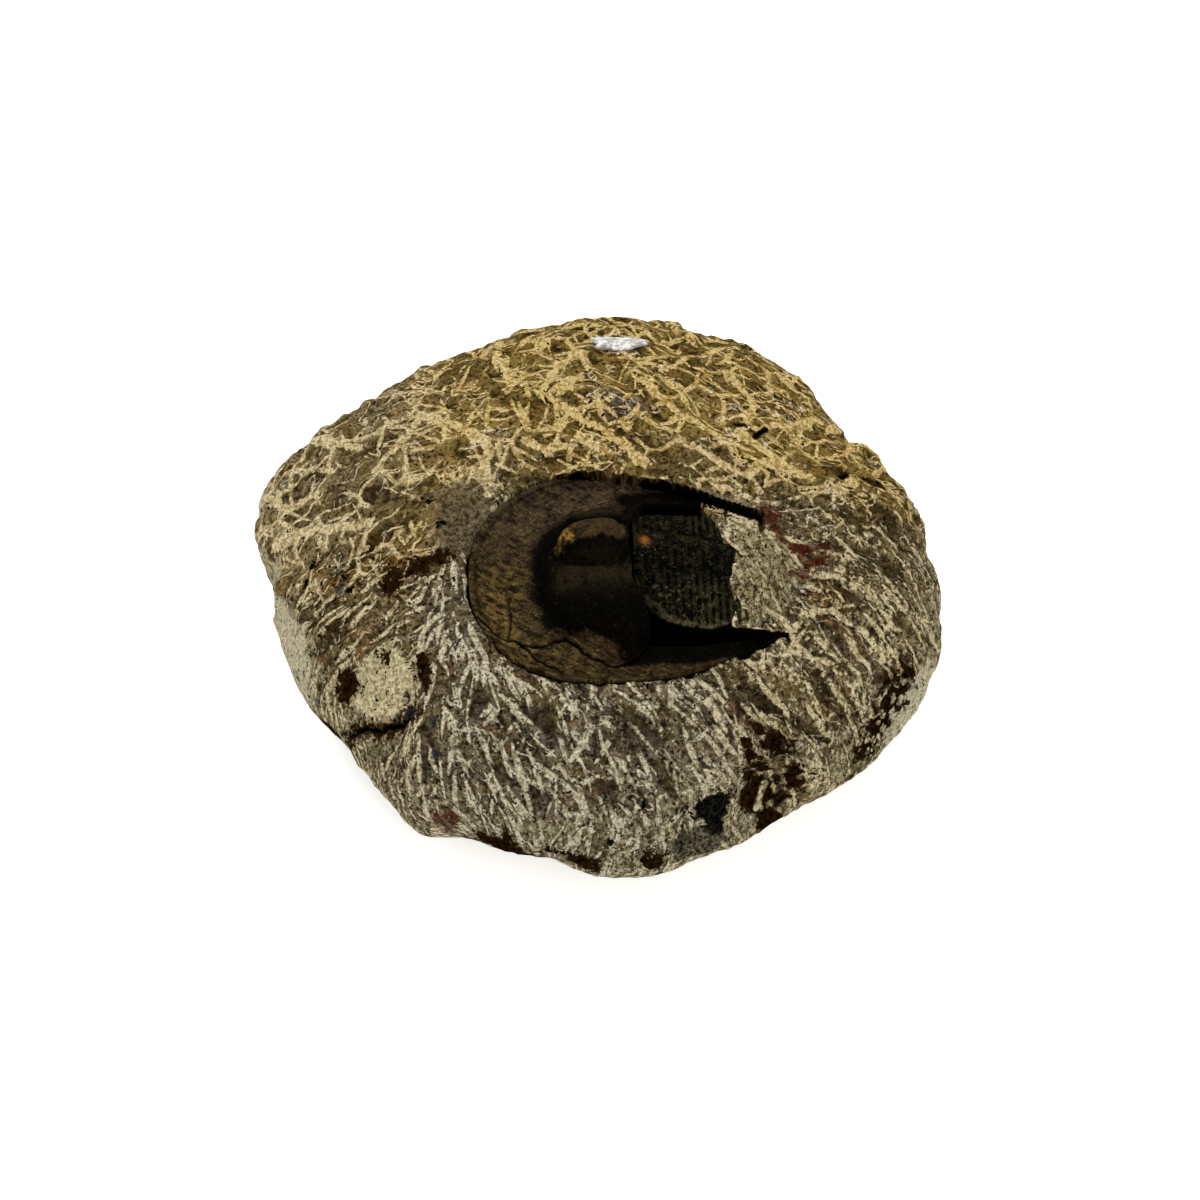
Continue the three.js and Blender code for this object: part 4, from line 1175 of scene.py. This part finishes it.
low_v = near_edge + (far_edge - near_edge) * np.linspace(1, 0, THORAX_UNDER)[None, :]
low_u = lengthways + 0.06 * np.maximum(0, np.abs(low_v - THORAX["middle"]) - 3.5)
ribs = closed_shell("thorax_ribs", (u, v, height), (low_u, low_v, BED_FLOOR + 0.1 + 0 * low_v))
orange = bell(np.hypot(u - 4.9, v - 1.3) / 0.6)
shares = (beat, crisp, orange, ease(0.75, 0.3, edge))
mark(ribs, "tone", *(with_underside(share, THORAX_UNDER) for share in shares))


def thorax_shell():
    """Near-black shell with a green-grey cast, paler on the ribs' crests where they are crisp, with fine
    pale flecks and one orange mineral spot."""
    material, wires, shader = new_material("thorax_shell")
    plan = wires.attribute("plan")["Vector"]
    beat, crisp, orange, edge = wires.channels("tone")
    mottle, grain, speck = wires.group(grit, plan, 0.8, 3.0, 0.7, 0.6)
    _, side, raised = wires.parts(plan)
    shell = wires.tones(beat, 0.4, 0.95, "#030302", "#0f0e07")
    ribbed = wires.tones(beat, 0.5, 0.95, "#040403", "#201e10")
    shell = wires.mix(crisp, shell, ribbed)
    shell = wires.cover(shell, wires.fade(mottle, 0.5, 0.66), 0.6, "#2b2713")
    shell = wires.cover(shell, wires.fade(mottle, 0.49, 0.37), 0.9, "#030302")
    flecks = wires.fade(wires.noise(plan, 2.6, 3.0, 0.75, dimensions="3D"), 0.58, 0.68)
    shell = wires.cover(shell, flecks, 0.32, "#6f6a45")
    warts = wires.fade(wires.noise(plan, 1.25, 2.0, 0.5, dimensions="3D"), 0.58, 0.66)
    warts = wires.times(warts, wires.fade(side, -3.5, -5.0))
    shell = wires.cover(shell, warts, 0.55, "#4f4c30")
    shell = wires.mix(wires.times(edge, wires.fade(mottle, 0.35, 0.6)), shell, "#57503a")
    # Painted shade: black where the shell lies low, on the ribs' turned-down ends and under them.
    shell = wires.mix(wires.fade(raised, 0.45, 0.1), shell, "#030302")
    shell = wires.mix(orange, shell, "#87501f")
    shell = wires.mix(1.0, shell, speck, "MULTIPLY")
    height = wires.scaled(grain, 0.16, wires.times(mottle, 0.4))
    surface(wires, shader, shell, height, 1.0, wires.scaled(grain, 0.3, 0.45))
    shader.inputs["Specular IOR Level"].default_value = 0.008
    return material


ribs.data.materials.append(thorax_shell())
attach(ribs, "root")
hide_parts("thorax")

# --- The white residue ----------------------------------------------------------------------------
# A thin crust of white chalky residue, stuck to the far shoulder of the nodule.

RESIDUE = {"x": 3.6, "y": 33.5, "half": (4.3, 1.7, 0.6)}


def residue_loops():
    """Flat rounded crust: loops from its top to its underside, with a plan that three and five waves
    make uneven and noise makes ragged. It lies on the plane that fits the stone round it best."""
    down = np.linspace(0.02, np.pi - 0.02, 60)[:, None]
    around = np.linspace(0, 2 * np.pi, 240, endpoint=False)[None, :]
    uneven = 1 + 0.13 * np.sin(3 * around + 0.6) + 0.08 * np.sin(5 * around + 2)
    ring = joined(4 * np.cos(around), 4 * np.sin(around), 0 * around)
    out = np.sin(down) ** 0.6 * (uneven + 0.12 * layered(ring, 1.6, 3, 91))
    long, wide, high = RESIDUE["half"]
    x, y, z = long * out * np.cos(around), wide * out * np.sin(around), high * np.cos(down) + 0 * around
    z = z + 0.16 * layered(joined(x, y, 0 * x), 1.2, 3, 95) * np.sin(down)
    under = rock[np.hypot(rock[..., 0] - RESIDUE["x"], rock[..., 1] - RESIDUE["y"]) < 4]
    under = under[under[:, 2] > WAIST] - (RESIDUE["x"], RESIDUE["y"], 0)
    level, slope_x, slope_y = np.linalg.lstsq(np.c_[np.ones(len(under)), under[:, :2]], under[:, 2],
                                              rcond=None)[0]
    return joined(RESIDUE["x"] + x, RESIDUE["y"] + y, level + slope_x * x + slope_y * y + 0.35 + z)


crust = closed_skin("white_crust", residue_loops())


def chalk_crust():
    """Chalky white with faint grey patches and a grainy surface."""
    material, wires, shader = new_material("chalk_crust")
    place = wires.add("ShaderNodeTexCoord").outputs["Object"]
    place = wires.vector("MULTIPLY", place, (1 / MM, 1 / MM, 1 / MM))
    mottle, grain, speck = wires.group(grit, place, 1.2, 6.0, 0.3, 0.0)
    white = wires.tones(mottle, 0.38, 0.62, "#8f8d84", "#dbdad5")
    white = wires.mix(1.0, white, speck, "MULTIPLY")
    surface(wires, shader, white, wires.times(grain, 0.15), 0.8, 0.9)
    return material


crust.data.materials.append(chalk_crust())
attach(crust, "root")
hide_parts("white_residue")

# --- The table, the light and the camera ----------------------------------------------------------
# The nodule lies on a plain pale table under a broad soft light from above and behind. The camera looks
# down on it from the animal's left side. Sizes are in metres here.

floor_half = 1.2
floor_mesh = bpy.data.meshes.new("table_top")
floor_mesh.from_pydata([(-floor_half, -floor_half, 0), (floor_half, -floor_half, 0),
                        (floor_half, floor_half, 0), (-floor_half, floor_half, 0)], [], [(0, 1, 2, 3)])
table_top = bpy.data.objects.new("table_top", floor_mesh)
bpy.context.scene.collection.objects.link(table_top)
pale, _, pale_shader = new_material("pale_table")
pale_shader.inputs["Base Color"].default_value = (0.94, 0.94, 0.94, 1.0)
pale_shader.inputs["Roughness"].default_value = 0.9
pale_shader.inputs["Specular IOR Level"].default_value = 0.1
pale_shader.inputs["Emission Color"].default_value = (1.0, 1.0, 1.0, 1.0)
pale_shader.inputs["Emission Strength"].default_value = 0.42
floor_mesh.materials.append(pale)

world = bpy.data.worlds.new("studio")
world.use_nodes = True
world.node_tree.nodes["Background"].inputs["Color"].default_value = (1.0, 1.0, 1.0, 1.0)
world.node_tree.nodes["Background"].inputs["Strength"].default_value = 0.74
bpy.context.scene.world = world
bpy.context.scene.view_settings.view_transform = "Standard"


def aim(thing, target):
    """Turns an object's -Z axis to a target, with its Y axis as upright as it can be."""
    way = Vector(target) - Vector(thing.location)
    thing.rotation_euler = way.to_track_quat("-Z", "Y").to_euler()


def soft_light(name, place, size, power):
    """Square area light that faces the nodule."""
    lamp = bpy.data.lights.new(name, "AREA")
    lamp.size = size
    lamp.energy = power
    light = bpy.data.objects.new(name, lamp)
    light.location = place
    aim(light, (0, 0, 0.015))
    bpy.context.scene.collection.objects.link(light)


soft_light("key", (-0.22, 0.42, 0.52), 0.45, 4)
soft_light("fill", (0.25, -0.5, 0.45), 0.5, 1.7)

camera_elevation = np.radians(54)
camera_distance = 0.38
target = np.array([0.65, -4.45, 15]) * MM
lens = bpy.data.cameras.new("camera")
lens.lens = 78
lens.sensor_width = 36
camera = bpy.data.objects.new("camera", lens)
back = np.array([0, -np.cos(camera_elevation), np.sin(camera_elevation)])
camera.location = target + back * camera_distance
aim(camera, target)
bpy.context.scene.collection.objects.link(camera)
bpy.context.scene.camera = camera
